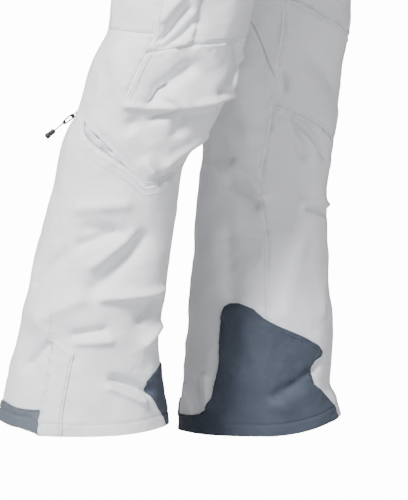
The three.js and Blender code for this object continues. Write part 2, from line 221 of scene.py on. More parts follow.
def add_bump(
    tree: bpy.types.NodeTree,
    strength: float,
    height_mm: float,
    links: dict[str, bpy.types.NodeSocket],
) -> bpy.types.NodeSocket:
    """Bump of a given height, and its normal's socket.

    Args:
        tree: the material's node tree.
        strength: how strongly it shows, from 0 to 1.
        height_mm: height of the bumps.
        links: the height's socket, and a normal to build on if there is one.

    Returns:
        The normal's socket.
    """
    settings = {"Strength": strength, "Distance": height_mm * MM}
    return add_node(tree, "ShaderNodeBump", settings, links).outputs["Normal"]


def spread_roughness(
    tree: bpy.types.NodeTree, low: float, high: float, share: bpy.types.NodeSocket
) -> bpy.types.NodeSocket:
    """Roughness that runs between two values by a share, as a socket."""
    settings = {"To Min": low, "To Max": high}
    made = add_node(tree, "ShaderNodeMapRange", settings, {"Value": share})
    return made.outputs["Result"]


@dataclass(frozen=True)
class WovenCloth:
    """A woven technical cloth, drawn from its thread spacing.

    thread_mm is the drawn thread spacing. Real threads are about 0.3 mm, too fine to
    show, so each is drawn several times coarser at a low height.
    """

    name: str
    colour: str
    worn_colour: str
    slot: str
    thread_mm: float = 1.6
    thread_height_mm: float = 0.05
    roughness: float = 0.74
    roughness_spread: float = 0.1
    sheen: float = 0.15
    pucker_mm: float = 14.0
    pucker_height_mm: float = 0.35
    diagonal: bool = False

    def build(self) -> bpy.types.Material:
        """Build the material: weave and pucker in bump, soft mottling in colour."""
        material, tree = start_material(self.name)
        cloth = add_node(tree, "ShaderNodeUVMap", {"uv_map": "cloth_m"}).outputs["UV"]
        place = add_node(tree, "ShaderNodeTexCoord").outputs["Object"]
        height = self._weave(tree, cloth)
        pucker = scaled_noise(tree, place, self.pucker_mm, 3.0)
        soft = add_bump(tree, 1.0, self.pucker_height_mm, {"Height": pucker})
        links = {"Height": height, "Normal": soft}
        bump = add_bump(tree, 0.8, self.thread_height_mm, links)
        mottle = scaled_noise(tree, place, 38.0, 4.0)
        colour = blend_colours(tree, mottle, self.colour, self.worn_colour)
        low, high = self.roughness - self.roughness_spread, self.roughness + self.roughness_spread
        rough = spread_roughness(tree, low, high, scaled_noise(tree, place, 9.0, 3.0))
        finish_material(
            tree,
            {
                "IOR": 1.5,
                "Specular IOR Level": 0.35,
                "Sheen Weight": self.sheen,
                "Sheen Roughness": 0.5,
            },
            {"Base Color": colour, "Roughness": rough, "Normal": bump},
        )
        return material

    def _weave(
        self, tree: bpy.types.NodeTree, cloth: bpy.types.NodeSocket
    ) -> bpy.types.NodeSocket:
        """Warp and weft threads crossing, with a turn of 45 degrees for a twill.

        Args:
            tree: the material's node tree.
            cloth: UV coordinate in metres of cloth.

        Returns:
            The thread height's socket.
        """
        turn = math.radians(45) if self.diagonal else 0.0
        turned = add_node(
            tree,
            "ShaderNodeMapping",
            {"Rotation": (0.0, 0.0, turn)},
            {"Vector": cloth},
        ).outputs["Vector"]
        waves = []
        for direction in ("X", "Y"):
            wave = add_node(
                tree,
                "ShaderNodeTexWave",
                {
                    "bands_direction": direction,
                    "Scale": 1000 / (self.thread_mm * 20) * math.pi * 2,
                    "Distortion": 1.2,
                    "Detail": 1.0,
                },
                {"Vector": turned},
            )
            waves.append(wave.outputs["Fac"])
        crossed = add_node(
            tree,
            "ShaderNodeMath",
            {"operation": "MULTIPLY"},
            {"0": waves[0], "1": waves[1]},
        )
        return crossed.outputs["Value"]


@dataclass(frozen=True)
class PlatedMetal:
    """Die-cast zinc with a dark nickel plating: small smooth hardware."""

    name: str
    colour: str
    worn_colour: str
    slot: str
    roughness: float = 0.32

    def build(self) -> bpy.types.Material:
        """Build the material: cloudy plating, fine scratches and rubbed spots."""
        material, tree = start_material(self.name)
        place = add_node(tree, "ShaderNodeTexCoord").outputs["Object"]
        rubbed = scaled_noise(tree, place, 4.0, 4.0)
        scratch = scaled_noise(tree, place, 0.8, 2.0)
        bump = add_bump(tree, 0.3, 0.05, {"Height": scratch})
        rough = spread_roughness(tree, self.roughness - 0.08, self.roughness + 0.14, rubbed)
        colour = blend_colours(tree, rubbed, self.colour, self.worn_colour)
        links = {"Base Color": colour, "Roughness": rough, "Normal": bump}
        finish_material(tree, {"Metallic": 1.0}, links)
        return material


@dataclass(frozen=True)
class MouldedRubber:
    """Injection-moulded thermoplastic rubber: matt, with a fine moulded grain."""

    name: str
    colour: str
    worn_colour: str
    slot: str
    roughness: float = 0.6

    def build(self) -> bpy.types.Material:
        """Build the material: moulded grain in bump and dusty high spots."""
        material, tree = start_material(self.name)
        place = add_node(tree, "ShaderNodeTexCoord").outputs["Object"]
        grain = scaled_noise(tree, place, 0.7, 2.0)
        dust = scaled_noise(tree, place, 5.0, 3.0)
        bump = add_bump(tree, 0.5, 0.08, {"Height": grain})
        rough = spread_roughness(tree, self.roughness - 0.08, self.roughness + 0.12, dust)
        finish_material(
            tree,
            {"IOR": 1.5},
            {
                "Base Color": blend_colours(tree, dust, self.colour, self.worn_colour),
                "Roughness": rough,
                "Normal": bump,
            },
        )
        return material


Finish = WovenCloth | PlatedMetal | MouldedRubber


class Wardrobe:
    """Builds each finish once and hands out its material."""

    # Coated woven polyester: matt and pale with a faint cool cast, softly puckered.
    SHELL = WovenCloth(
        "woven_polyester_shell", "#e6e7ea", "#dcdde1", "shell_fabric"
    )
    # Ballistic nylon on the kick patches: a coarser weave in dark slate blue; this darker copy of
    # the heel band's nylon holds painted shade.
    KICK = WovenCloth(
        "ballistic_nylon_kick_patch",
        "#333a46",
        "#414957",
        "charcoal_fabric",
        thread_mm=2.2,
        thread_height_mm=0.12,
        roughness=0.7,
        sheen=0.04,
    )
    # The heel band is the same nylon in a paler blue grey: its lit copy, painted lighter.
    HEEL = WovenCloth(
        "ballistic_nylon_heel_band",
        "#50565f",
        "#5b626c",
        "grey_fabric",
        thread_mm=2.2,
        thread_height_mm=0.1,
        sheen=0.05,
    )
    # Brushed tricot lining: bright white cloth, no visible threads, a soft nap; its colour is
    # greyed as painted shade for the inside of the vent slit, and the snow gaiters share it.
    LINING = WovenCloth(
        "brushed_tricot_lining",
        "#dfe0e4",
        "#d2d3d9",
        "white_lining",
        thread_mm=1.2,
        thread_height_mm=0.03,
        roughness=0.9,
        roughness_spread=0.05,
        sheen=0.4,
        pucker_mm=9.0,
        pucker_height_mm=0.8,
    )
    # Polyester zip tape with a herringbone weave, nearly black.
    TAPE = WovenCloth(
        "polyester_zip_tape",
        "#1b1c20",
        "#26272c",
        "zip_tape",
        thread_mm=1.0,
        thread_height_mm=0.08,
        roughness=0.8,
        diagonal=True,
    )
    # The same tape in the colour of the lining, on the vent's lower lip.
    PALE_TAPE = WovenCloth(
        "pale_polyester_zip_tape",
        "#e2e3e6",
        "#d3d4d8",
        "zip_tape",
        thread_mm=1.0,
        thread_height_mm=0.08,
        roughness=0.8,
        diagonal=True,
    )
    # Sewing thread in the shell's colour, painted a little darker as the shade along the stitches,
    # so the stitches read.
    THREAD = WovenCloth(
        "polyester_sewing_thread",
        "#c9cbd0",
        "#bbbdc3",
        "shell_fabric",
        thread_mm=0.8,
        roughness=0.6,
        pucker_height_mm=0.0,
    )
    # Dark thread round the kick patches.
    DARK_THREAD = WovenCloth(
        "polyester_dark_thread",
        "#3a424e",
        "#444d5a",
        "charcoal_fabric",
        thread_mm=0.8,
        roughness=0.6,
        pucker_height_mm=0.0,
    )
    METAL = PlatedMetal("black_nickel_zinc", "#3a3b40", "#5f6065", "gunmetal")
    RUBBER = MouldedRubber("moulded_rubber_grip", "#17181b", "#26272b", "rubber")
    COIL = MouldedRubber("pale_nylon_zip_coil", "#c2c4c9", "#b4b6bc", "zip_tape", 0.4)

    def __init__(self) -> None:
        """Start with nothing built."""
        self._made: dict[str, bpy.types.Material] = {}

    def dress(self, piece: bpy.types.Object, finish: Finish) -> None:
        """Put a finish on a new piece or on a piece carried over from the frame.

        Args:
            piece: the object to dress.
            finish: what it is made of.
        """
        if finish.name not in self._made:
            self._made[finish.name] = finish.build()
        material = self._made[finish.name]
        if "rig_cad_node" in piece:
            for slot in piece.material_slots:
                slot.material = material
            return
        piece.data.materials.clear()
        piece.data.materials.append(material)


# ---------------------------------------------------------------------------
# Measurements of the garment, in millimetres
# ---------------------------------------------------------------------------


def smooth_rows(rows: Sequence[Sequence[float]], z: Array) -> Array:
    """Read a table of measurements by height with a smooth curve through its rows.

    Args:
        rows: rows of height then measurements, highest row first.
        z: heights to read at.

    Returns:
        One column of measurements for each height.
    """
    table = np.array(rows, float)[::-1]
    heights, values = table[:, 0], table[:, 1:]
    steps = np.diff(heights)
    slopes = np.diff(values, axis=0) / steps[:, None]
    tangents = np.zeros_like(values)
    tangents[0], tangents[-1] = slopes[0], slopes[-1]
    same_way = slopes[1:] * slopes[:-1] > 0
    middle = (slopes[1:] + slopes[:-1]) / 2
    tangents[1:-1] = np.where(same_way, middle, 0.35 * middle)
    z = np.clip(z, heights[0], heights[-1])
    i = np.clip(np.searchsorted(heights, z) - 1, 0, len(steps) - 1)
    t = ((z - heights[i]) / steps[i])[:, None]
    h = steps[i][:, None]
    start, end = values[i], values[i + 1]
    return (
        (2 * t**3 - 3 * t**2 + 1) * start
        + (t**3 - 2 * t**2 + t) * h * tangents[i]
        + (-2 * t**3 + 3 * t**2) * end
        + (t**3 - t**2) * h * tangents[i + 1]
    )


def ease(low: float, high: float, value: Array) -> Array:
    """Rise smoothly from 0 at low to 1 at high; low may be above high."""
    t = np.clip((value - low) / (high - low), 0.0, 1.0)
    return t * t * (3 - 2 * t)


def along_table(table: Sequence[tuple[float, float]], key: Array) -> Array:
    """Read a two-column table, in rising order of its first column, straight between rows."""
    columns = np.array(table, float)
    return np.interp(key, columns[:, 0], columns[:, 1])


def lifted(turn: float, z: float) -> tuple[float, float]:
    """Raise a height given at the leg's outline to where it sits on the middle of a face."""
    return turn, z - 0.0139 * (z + 275.0) * abs(math.cos(math.radians(turn)))


def signed_power(value: Array, power: Array | float) -> Array:
    """Raise the size of a value to a power and keep its sign."""
    return np.sign(value) * np.abs(value) ** power


@dataclass(frozen=True)
class HipShape:
    """The hip block: half widths and depths at the waist and at the hip line."""

    band_height: float = 42.0
    hip_line: float = -200.0
    waist_half_width: float = 140.0
    hip_half_width: float = 179.0
    waist_front: float = 106.0
    waist_back: float = 112.0
    hip_front: float = 134.0
    hip_back: float = 150.0

    def section(
        self, turn: Array, z: Array
    ) -> tuple[Array, Array]:
        """Half section of the hips for one leg's outer side.

        Args:
            turn: degrees, 0 the outer side, 90 the back and -90 the front.
            z: heights.

        Returns:
            Distance out from the centre line, and y. Turns past the front or back
            centre stay on the centre line.
        """
        t = np.clip((-z - self.band_height) / (-self.hip_line - self.band_height), 0, 1)
        t = np.sin(t * math.pi / 2)
        back = np.sin(np.radians(turn)) > 0
        waist = np.where(back, self.waist_back, self.waist_front)
        hip = np.where(back, self.hip_back, self.hip_front)
        half_width = self.waist_half_width + t * (
            self.hip_half_width - self.waist_half_width
        )
        depth = waist + t * (hip - waist)
        power = 2 / (2.1 + 0.4 * t)
        c, s = np.cos(np.radians(turn)), np.sin(np.radians(turn))
        out = half_width * np.maximum(c, 0.0) ** power
        return out, depth * signed_power(s, power)


HIPS = HipShape()
CROTCH_DROP = 46.0
HIP_TO_LEG = (-225.0, -345.0)
CROTCH_FADE = (-225.0, -430.0)


def lean(fore: float, face: float = 0.0) -> float:
    """Turn of a place given by how far back it is, on the outer (0) or inner (180) face."""
    turn = math.degrees(math.asin(max(-1.0, min(1.0, fore))))
    return face - turn if face else turn


def centred(turn: Array) -> Array:
    """Bring turns into the range from -180 up to 180 degrees."""
    return (turn + 180.0) % 360.0 - 180.0


@dataclass(frozen=True)
class Fold:
    """A crease or ridge in the cloth.

    path holds (fore-and-aft place from -1 front to 1 back, height above the knee in mm).
    height is in mm: positive stands out, negative sinks in.
    """

    path: tuple[tuple[float, float], ...]
    width: float
    height: float


# How strongly and how tightly the folds show.
FOLD_STRENGTH = 2.5
FOLD_TIGHTNESS = 0.85
# A fold is a sharp middle on a broad skirt: their shares, and how much broader.
FOLD_SHARP = 0.72
FOLD_SKIRT = 0.28
SKIRT_WIDTH = 2.6

# Knee to hem in mm, as the folds, the outer face's edges and the inner face's are given.
FOLD_DROP = 425.0
OUTER_DROP = -418.0
INNER_DROP = -437.0

# Soft unevenness of the padding: blotch size, seed shift and height in mm.
PADDING = ((62.0, 0.0, 2.7), (27.0, 7.0, 1.5))

# The leg's inner half starts here, in degrees from the outer side.
INNER_FROM_TURN = 89.0

# The hem rises toward the front as a power of its nearness to the front: in general,
# and on the outer side of the left leg.
HEM_POWER = 2.0
OUTER_HEM_POWER = 1.1


# Folds on the outer face of a leg.
OUTER_FOLDS = (
    Fold(((0.06, -18), (0.0, -4), (-0.08, 1)), 3.4, -5.0),
    Fold(((-0.02, 0), (-0.34, 23)), 11.0, -4.5),
    Fold(((0.3, -22), (-0.5, -26)), 5.0, 3.2),
    Fold(((-0.06, -5), (-0.43, -20)), 5.0, 3.6),
    Fold(((-0.09, -38), (-0.24, -35), (-0.52, -29)), 4.5, -4.6),
    Fold(((-0.51, -34), (-0.58, -54)), 9.0, -3.8),
    Fold(((0.05, -59), (-0.48, -104)), 7.0, 4.2),
    Fold(((0.16, -44), (-0.25, -84)), 8.0, -3.4),
    Fold(((-0.68, -115), (-0.9, -104)), 3.5, -4.2),
    Fold(((-0.51, -24), (-0.98, -6)), 5.5, 4.2),
    Fold(((-0.6, -36), (-0.99, -22)), 7.0, -3.2),
    Fold(((-0.9, 52), (-0.98, 31), (-0.84, -2)), 3.4, -4.0),
    Fold(((-0.99, 40), (-0.95, 4)), 5.0, 3.0),
    Fold(((-0.69, -92), (-0.96, -58)), 8.0, 3.0),
    Fold(((0.37, -196), (-0.08, -182)), 8.0, -3.6),
    Fold(((0.3, -174), (-0.55, -188)), 10.0, -2.6),
    Fold(((0.5, -150), (-0.2, -146)), 9.0, 2.2),
    Fold(((0.02, -250), (-0.2, -226), (-0.46, -202)), 13.0, -4.6),
    Fold(((-0.12, -262), (-0.93, -254)), 7.5, 4.6),
    Fold(((0.1, -222), (-0.36, -184)), 8.0, 3.2),
    Fold(((-0.93, -262), (-0.74, -288)), 8.5, -6.0),
    Fold(((-0.96, -296), (-0.8, -318)), 8.0, 3.2),
    Fold(((0.18, -308), (-0.18, -302)), 5.5, -3.0),
    Fold(((0.1, -318), (-0.3, -316)), 6.0, 2.4),
    Fold(((-0.4, -364), (-0.83, -378)), 6.5, -4.6),
    Fold(((-0.35, -374), (-0.75, -392)), 5.0, 2.6),
    Fold(((0.74, -343), (0.53, -321)), 6.0, -3.0),
    Fold(((0.9, -240), (0.6, -210)), 10.0, -2.4),
    Fold(((0.7, -290), (0.2, -264)), 12.0, 2.6),
    Fold(((0.18, 60), (-0.09, 97)), 4.2, -3.4),
    Fold(((0.06, 52), (-0.2, 80)), 4.2, -3.0),
    Fold(((0.2, 84), (0.0, 112)), 5.0, 2.8),
    Fold(((0.7, 40), (0.3, -10)), 14.0, 2.4),
    Fold(((-0.4, 44), (-0.8, 16)), 10.0, 2.2),
    Fold(((-0.3, 140), (-0.9, 178)), 16.0, -3.6),
    Fold(((0.2, 190), (-0.6, 240)), 18.0, -4.0),
    Fold(((0.9, 180), (0.3, 130)), 16.0, -3.6),
    Fold(((0.95, 240), (0.3, 280)), 16.0, 3.4),
)

# Folds on the inner face of a leg.
INNER_FOLDS = (
    Fold(((-0.3, -38), (-0.6, -58), (-0.88, -84)), 5.0, -3.6),
    Fold(((-0.2, -34), (-0.36, -58), (-0.55, -86)), 5.0, -3.2),
    Fold(((-0.26, -42), (-0.7, -76)), 6.0, 2.6),
    Fold(((-0.12, 17), (-0.18, -2)), 3.2, -3.4),
    Fold(((-0.7, -152), (-0.98, -156)), 3.4, -3.8),
    Fold(((-0.6, -144), (-0.98, -146)), 5.0, 2.6),
    Fold(((0.44, -98), (0.22, -112), (0.02, -134)), 7.0, 5.0),
    Fold(((0.5, -120), (0.12, -146)), 8.0, -4.0),
    Fold(((0.94, -372), (0.84, -408)), 4.0, 2.6),
    Fold(((0.82, -366), (0.72, -402)), 4.0, -2.6),
    Fold(((0.7, -360), (0.66, -398)), 4.5, 2.2),
    Fold(((0.34, -297), (0.44, -399)), 11.0, -2.0),
    Fold(((-0.22, -384), (-0.5, -368), (-0.77, -346)), 7.0, -1.9),
    Fold(((-0.2, -398), (-0.6, -381)), 9.0, 1.3),
    Fold(((0.2, -306), (0.0, -352), (-0.3, -400)), 12.0, 2.0),
    Fold(((-0.5, 40), (-0.9, 0)), 14.0, -2.4),
    Fold(((0.5, 20), (0.3, -60)), 14.0, 2.4),
    Fold(((-0.5, -200), (-0.3, -280)), 16.0, 2.6),
    Fold(((0.5, -190), (0.4, -260)), 14.0, -2.6),
    Fold(((0.3, 150), (-0.3, 230)), 16.0, -3.6),
)


@dataclass(frozen=True)
class LegShape:
    """One leg: its measurements by height and everything that follows from them.

    rows hold height, distance of the leg's centre out from the centre line, half width,
    back and front. turn is 0 on the outer side, 90 at the back, 180 on the inner side.
    """

    side: Side
    knee: float
    hem: float
    front_hem_rise: float
    rows: tuple[tuple[float, float, float, float, float], ...]
    seed: float
    back_hem_rise: float = 0.0
    hem_depth: float = 15.0
    wrap: float = 74.0

    def base(self, turn: Array, z: Array) -> Array:
        """Smooth shape of the leg and its half of the hips, in the garment's frame.

        Args:
            turn: degrees round the leg.
            z: nominal heights.

        Returns:
            Points in mm.
        """
        wrapped = (turn + 180.0) % 360.0 - 180.0
        centre, half_width, back, front = smooth_rows(self.rows, z).T
        c, s = np.cos(np.radians(turn)), np.sin(np.radians(turn))
        leg_out = centre + half_width * signed_power(c, 0.95)
        leg_y = (back + front) / 2 + (back - front) / 2 * signed_power(s, 0.98)
        hip_out, hip_y = HIPS.section(wrapped, z)
        leg = ease(HIP_TO_LEG[0], HIP_TO_LEG[1], z)
        out = hip_out + leg * (leg_out - hip_out)
        y = hip_y + leg * (leg_y - hip_y)
        inner = np.maximum(-c, 0.0)
        drop = CROTCH_DROP * inner * (1 - ease(CROTCH_FADE[0], CROTCH_FADE[1], z))
        return np.stack([self.side.value * out, y, z - drop], axis=1)

    def normals(self, turn: Array, z: Array) -> Array:
        """Outward unit normals of the smooth shape.

        Args:
            turn: degrees round the leg.
            z: nominal heights.

        Returns:
            Unit vectors.
        """
        round_it = self.base(turn + 1.0, z) - self.base(turn - 1.0, z)
        down_it = self.base(turn, z + 2.0) - self.base(turn, z - 2.0)
        found = np.cross(round_it, down_it) * self.side.value
        return found / np.maximum(np.linalg.norm(found, axis=1), 1e-9)[:, None]

    def relief(self, turn: Array, z: Array) -> Array:
        """Height of the folds and the soft unevenness of the padding, in mm.

        Args:
            turn: degrees round the leg.
            z: nominal heights.

        Returns:
            Offset outwards at each point.
        """
        total = np.zeros(len(turn))
        rise = z - self.knee
        stretch = np.where(rise < 0, (self.knee - self.hem) / FOLD_DROP, 1.0)
        rise = rise / stretch
        # Folds on the inner face of the right leg and the outer face of the left one
        # die out toward the leg's outline.
        quiet = 180.0 if self.side is Side.RIGHT else 0.0
        calm = ease(0.15, 0.6, np.cos(np.radians(turn - quiet)))
        for face, folds in ((0.0, OUTER_FOLDS), (180.0, INNER_FOLDS)):
            share = calm if face == quiet else 1.0
            for fold in folds:
                total += FOLD_STRENGTH * share * self._fold(fold, face, turn, rise)
        points = self.base(turn, z)
        for size, shift, height in PADDING:
            total += soft_noise(points, size, self.seed + shift) * height
        # Stiff cloth breaks into flat facets with sharp lines between them.
        broken = 1.0 - 2.2 * np.abs(soft_noise(points * (1, 1, 0.7), 38.0, self.seed + 2))
        total += 1.7 * broken * (0.6 + soft_noise(points, 90.0, self.seed + 5.0))
        broken = 1.0 - 2.2 * np.abs(soft_noise(points * (1, 1, 1.3), 17.0, self.seed + 9))
        total += 0.6 * broken * (0.5 + soft_noise(points, 60.0, self.seed + 11.0))
        above = z - self.hem_at(turn) - self.hem_depth
        total -= 0.9 * np.exp(-((above / 1.2) ** 2)) * (above < 8.0)
        return total

    def _fold(self, fold: Fold, face: float, turn: Array, rise: Array) -> Array:
        """One fold's height at each point.

        Args:
            fold: the fold.
            face: 0 for the outer face, 180 for the inner one.
            turn: degrees round the leg.
            rise: heights above the knee.

        Returns:
            Offset outwards.
        """
        places = []
        for fore, up in fold.path:
            swing = lean(fore, face)
            places.append((swing, lifted(swing, self.knee + up)[1] - self.knee))
        middle = places[0][0]
        near = centred(turn - middle)
        across = np.radians(near) * self.wrap
        best = np.full(len(turn), 1e9)
        for (t0, r0), (t1, r1) in zip(places[:-1], places[1:]):
            ax, ay = math.radians(t0 - middle) * self.wrap, r0
            bx, by = math.radians(t1 - middle) * self.wrap, r1
            dx, dy = bx - ax, by - ay
            share = ((across - ax) * dx + (rise - ay) * dy) / (dx * dx + dy * dy)
            share = np.clip(share, 0.0, 1.0)
            ox, oy = across - ax - share * dx, rise - ay - share * dy
            best = np.minimum(best, np.hypot(ox, oy))
        width = fold.width * FOLD_TIGHTNESS
        sharp = np.exp(-((best / width) ** 2))
        skirt = np.exp(-((best / (SKIRT_WIDTH * width)) ** 2))
        return fold.height * (FOLD_SHARP * sharp + FOLD_SKIRT * skirt)

    def cloth(self, turn: Array, z: Array, offset: Array | float = 0.0) -> Array:
        """Points of the folded cloth, raised by an offset.

        Args:
            turn: degrees round the leg.
            z: nominal heights.
            offset: extra distance outwards in mm.

        Returns:
            Points in mm.
        """
        fade = ease(-20.0, -120.0, z)
        height = self.relief(turn, z) * fade + offset
        crotch = np.abs(centred(turn)) > INNER_FROM_TURN
        pinned = crotch * (1 - ease(HIP_TO_LEG[0], HIP_TO_LEG[0] - 60.0, z))
        height = np.where(height > 0, height * (1 - pinned), height)
        return self.base(turn, z) + self.normals(turn, z) * height[:, None]

    def hem_at(self, turn: Array) -> Array:
        """Height of the bottom edge, which rides up over the boot at the front."""
        wrapped = centred(turn)
        front = np.maximum(-np.sin(np.radians(turn)), 0.0)
        left_outer = (self.side is Side.LEFT) & (np.cos(np.radians(turn)) > 0)
        front = front ** np.where(left_outer, OUTER_HEM_POWER, HEM_POWER)
        back = ease(30.0, 38.0, wrapped) * ease(150.0, 96.0, wrapped)
        back = back * (0.6 + 0.4 * ease(35.0, 88.0, wrapped))
        return self.hem + self.front_hem_rise * front + self.back_hem_rise * back


def soft_noise(points: Array, size: float, seed: float) -> Array:
    """Smooth repeatable noise from -1 to 1 with blotches about size mm across."""
    scaled = points / size + seed
    return np.array([noise.noise(Vector(p)) for p in scaled])


RIGHT_LEG = LegShape(
    Side.RIGHT,
    -600.0,
    -1018.0,
    6.0,
    (
        (-200.0, 90.0, 84.0, 118.0, -118.0),
        (-250.0, 92.0, 84.0, 134.0, -99.0),
        (-330.0, 97.0, 83.0, 154.0, -60.0),
        (-410.0, 100.0, 80.0, 180.0, -16.0),
        (-470.0, 102.0, 77.0, 196.0, 16.0),
        (-500.0, 103.0, 75.0, 201.0, 29.0),
        (-530.0, 103.0, 73.0, 203.0, 35.0),
        (-550.0, 104.0, 72.0, 213.0, 42.0),
        (-575.0, 104.0, 71.0, 224.0, 47.0),
        (-600.0, 104.0, 70.0, 232.0, 53.0),
        (-625.0, 104.0, 68.0, 240.0, 65.0),
        (-658.0, 104.0, 65.0, 254.0, 86.0),
        (-680.0, 104.0, 62.0, 262.0, 104.0),
        (-715.0, 104.0, 60.0, 269.0, 117.0),
        (-765.0, 104.0, 60.0, 282.0, 122.0),
        (-805.0, 104.0, 61.0, 292.0, 127.0),
        (-860.0, 104.0, 63.0, 306.0, 134.0),
        (-914.0, 104.0, 65.0, 317.0, 142.0),
        (-950.0, 104.0, 67.0, 326.0, 139.0),
        (-987.0, 104.0, 70.0, 333.0, 135.0),
        (-1018.0, 104.0, 72.0, 337.0, 131.0),
    ),
    seed=3.1,
    back_hem_rise=11.0,
)
LEFT_LEG = LegShape(
    Side.LEFT,
    -612.0,
    -1049.0,
    20.0,
    (
        (-200.0, 90.0, 84.0, 118.0, -118.0),
        (-250.0, 92.0, 84.0, 114.0, -116.0),
        (-330.0, 97.0, 83.0, 102.0, -111.0),
        (-410.0, 100.0, 80.0, 90.0, -106.0),
        (-500.0, 103.0, 75.0, 82.0, -100.0),
        (-533.0, 103.0, 73.0, 81.0, -99.0),
        (-585.0, 104.0, 71.0, 84.0, -88.0),
        (-636.0, 104.0, 66.0, 86.0, -82.0),
        (-665.0, 104.0, 63.0, 88.0, -80.0),
        (-693.0, 104.0, 61.0, 89.0, -74.0),
        (-731.0, 104.0, 60.0, 93.0, -70.0),
        (-790.0, 104.0, 61.0, 97.0, -70.5),
        (-845.0, 104.0, 62.0, 102.0, -72.0),
        (-884.0, 104.0, 64.0, 106.0, -74.0),
        (-935.0, 104.0, 66.0, 110.0, -78.0),
        (-962.0, 104.0, 68.0, 112.0, -77.0),
        (-986.0, 104.0, 69.0, 114.0, -75.0),
        (-1010.0, 104.0, 70.0, 116.0, -83.0),
        (-1049.0, 104.0, 72.0, 118.0, -94.0),
    ),
    seed=41.7,
)

# Heights above the knee of the seams that ring the leg, by turn from -180 to 180.
FRONT_SEAM = (
    (-180, 110), (-172, 108), (-157, 97), (-139, 83), (-113, 69), (-90, 61),
    (-70, 59), (-13, 52), (18, 44), (30, 42),
)
BACK_SEAM = (
    (10, 64), (18, 64), (55, 68), (90, 71), (130, 84), (155, 82), (161, 66), (168, 46),
    (175, 24), (182, 6),
)
# Turn of the inner seam by height above the knee.
INSEAM = (
    (-440, 186), (-297, 186.3), (-266, 185.7), (-185, 184), (-153, 180.6), (-129, 176.5),
    (-80, 178.3), (-24, 180.6), (13, 182), (61, 182), (110, 183), (250, 180),
)
VENT_UPPER = (
    (-180, -24), (-164, -34), (-139, -49), (-108, -66), (-90, -84), (-64, -104),
    (-43, -115), (-26, -120), (-16, -106), (11, -75), (33, -54), (64, -31),
    (90, -24), (135, -23), (180, -24),
)
VENT_LOWER = (
    (-180, -24), (-164, -34), (-139, -49), (-108, -66), (-90, -84), (-64, -104),
    (-43, -115), (-26, -120), (-12, -105), (7, -90), (31, -73), (49, -58),
    (60, -40), (66, -31), (90, -24), (135, -23), (180, -24),
)
SIDE_SEAM = ((-130, 24), (-14, 22), (22, 20), (47, 17), (68, 20), (107, 17), (400, 15))


# ---------------------------------------------------------------------------
# Cutting and sewing
# ---------------------------------------------------------------------------


@dataclass
class Cut:
    """One cut of cloth as a grid of points before it is given thickness.

    points and normals have the shape (rows, columns, 3), in mm.
    """

    points: Array
    normals: Array

    def plan(self) -> tuple[float, float, Array, float]:
        """Lay the cut flat.

        Returns:
            Its flat width and length in metres, the flat place of each grid point in
            metres, and its area in square metres.
        """
        p = self.points
        across = np.linalg.norm(np.diff(p, axis=1), axis=2)
        down = np.linalg.norm(np.diff(p, axis=0), axis=2)
        u = np.zeros(p.shape[:2])
        v = np.zeros(p.shape[:2])
        u[:, 1:] = np.cumsum(across, axis=1)
        u -= u[:, -1:] / 2
        v[1:] = np.cumsum(down, axis=0)
        a = p[1:, :-1] - p[:-1, :-1]
        b = p[:-1, 1:] - p[:-1, :-1]
        c = p[1:, 1:] - p[1:, :-1]
        d = p[1:, 1:] - p[:-1, 1:]
        area = (
            np.linalg.norm(np.cross(a, b), axis=2).sum() / 2
            + np.linalg.norm(np.cross(c, d), axis=2).sum() / 2
        )
        width = float(np.ptp(u))
        length = float(v.max())
        return width * MM, length * MM, np.stack([u, v], axis=2) * MM, area * MM * MM


def mesh_piece(
    name: str,
    points: Array,
    faces: Sequence[Sequence[int]],
    flat: Array | None = None,
    smooth: bool = True,
) -> bpy.types.Object:
    """Make a mesh object from points in mm.

    Args:
        name: the piece's name.
        points: corner points in mm.
        faces: corner numbers of each face.
        flat: flat place of each point in metres, for the cloth pattern.
        smooth: whether it is shaded smooth.

    Returns:
        The new object, in the scene.
    """
    mesh = bpy.data.meshes.new(name)
    mesh.from_pydata((np.asarray(points) * MM).tolist(), [], [list(f) for f in faces])
    mesh.polygons.foreach_set("use_smooth", [smooth] * len(mesh.polygons))
    if flat is not None:
        layer = mesh.uv_layers.new(name="cloth_m")
        corners = np.zeros(len(mesh.loops), int)
        mesh.loops.foreach_get("vertex_index", corners)
        layer.data.foreach_set("uv", flat[corners].astype(np.float32).ravel())
    mesh.update()
    piece = bpy.data.objects.new(name, mesh)
    bpy.context.scene.collection.objects.link(piece)
    return piece


def mark_rim(piece: bpy.types.Object, rim: set[int], count: int) -> None:
    """Make the edges between a cloth's faces and its walls sharp.

    Args:
        piece: the closed cloth.
        rim: corner numbers along the outer edge.
        count: number of corners in one layer.
    """
    mesh = piece.data
    ends = np.zeros(len(mesh.edges) * 2, int)
    mesh.edges.foreach_get("vertices", ends)
    ends = ends.reshape(-1, 2)
    on_rim = np.isin(ends % count, list(rim)).all(axis=1)
    same_layer = ends[:, 0] // count == ends[:, 1] // count
    near = mesh.attributes.new("sharp_edge", "BOOLEAN", "EDGE")
    near.data.foreach_set("value", on_rim & same_layer)


def grid_step(points: Array, axis: int) -> Array:
    """Direction to the next grid point along one axis of the grid."""
    return np.gradient(points, axis=axis)


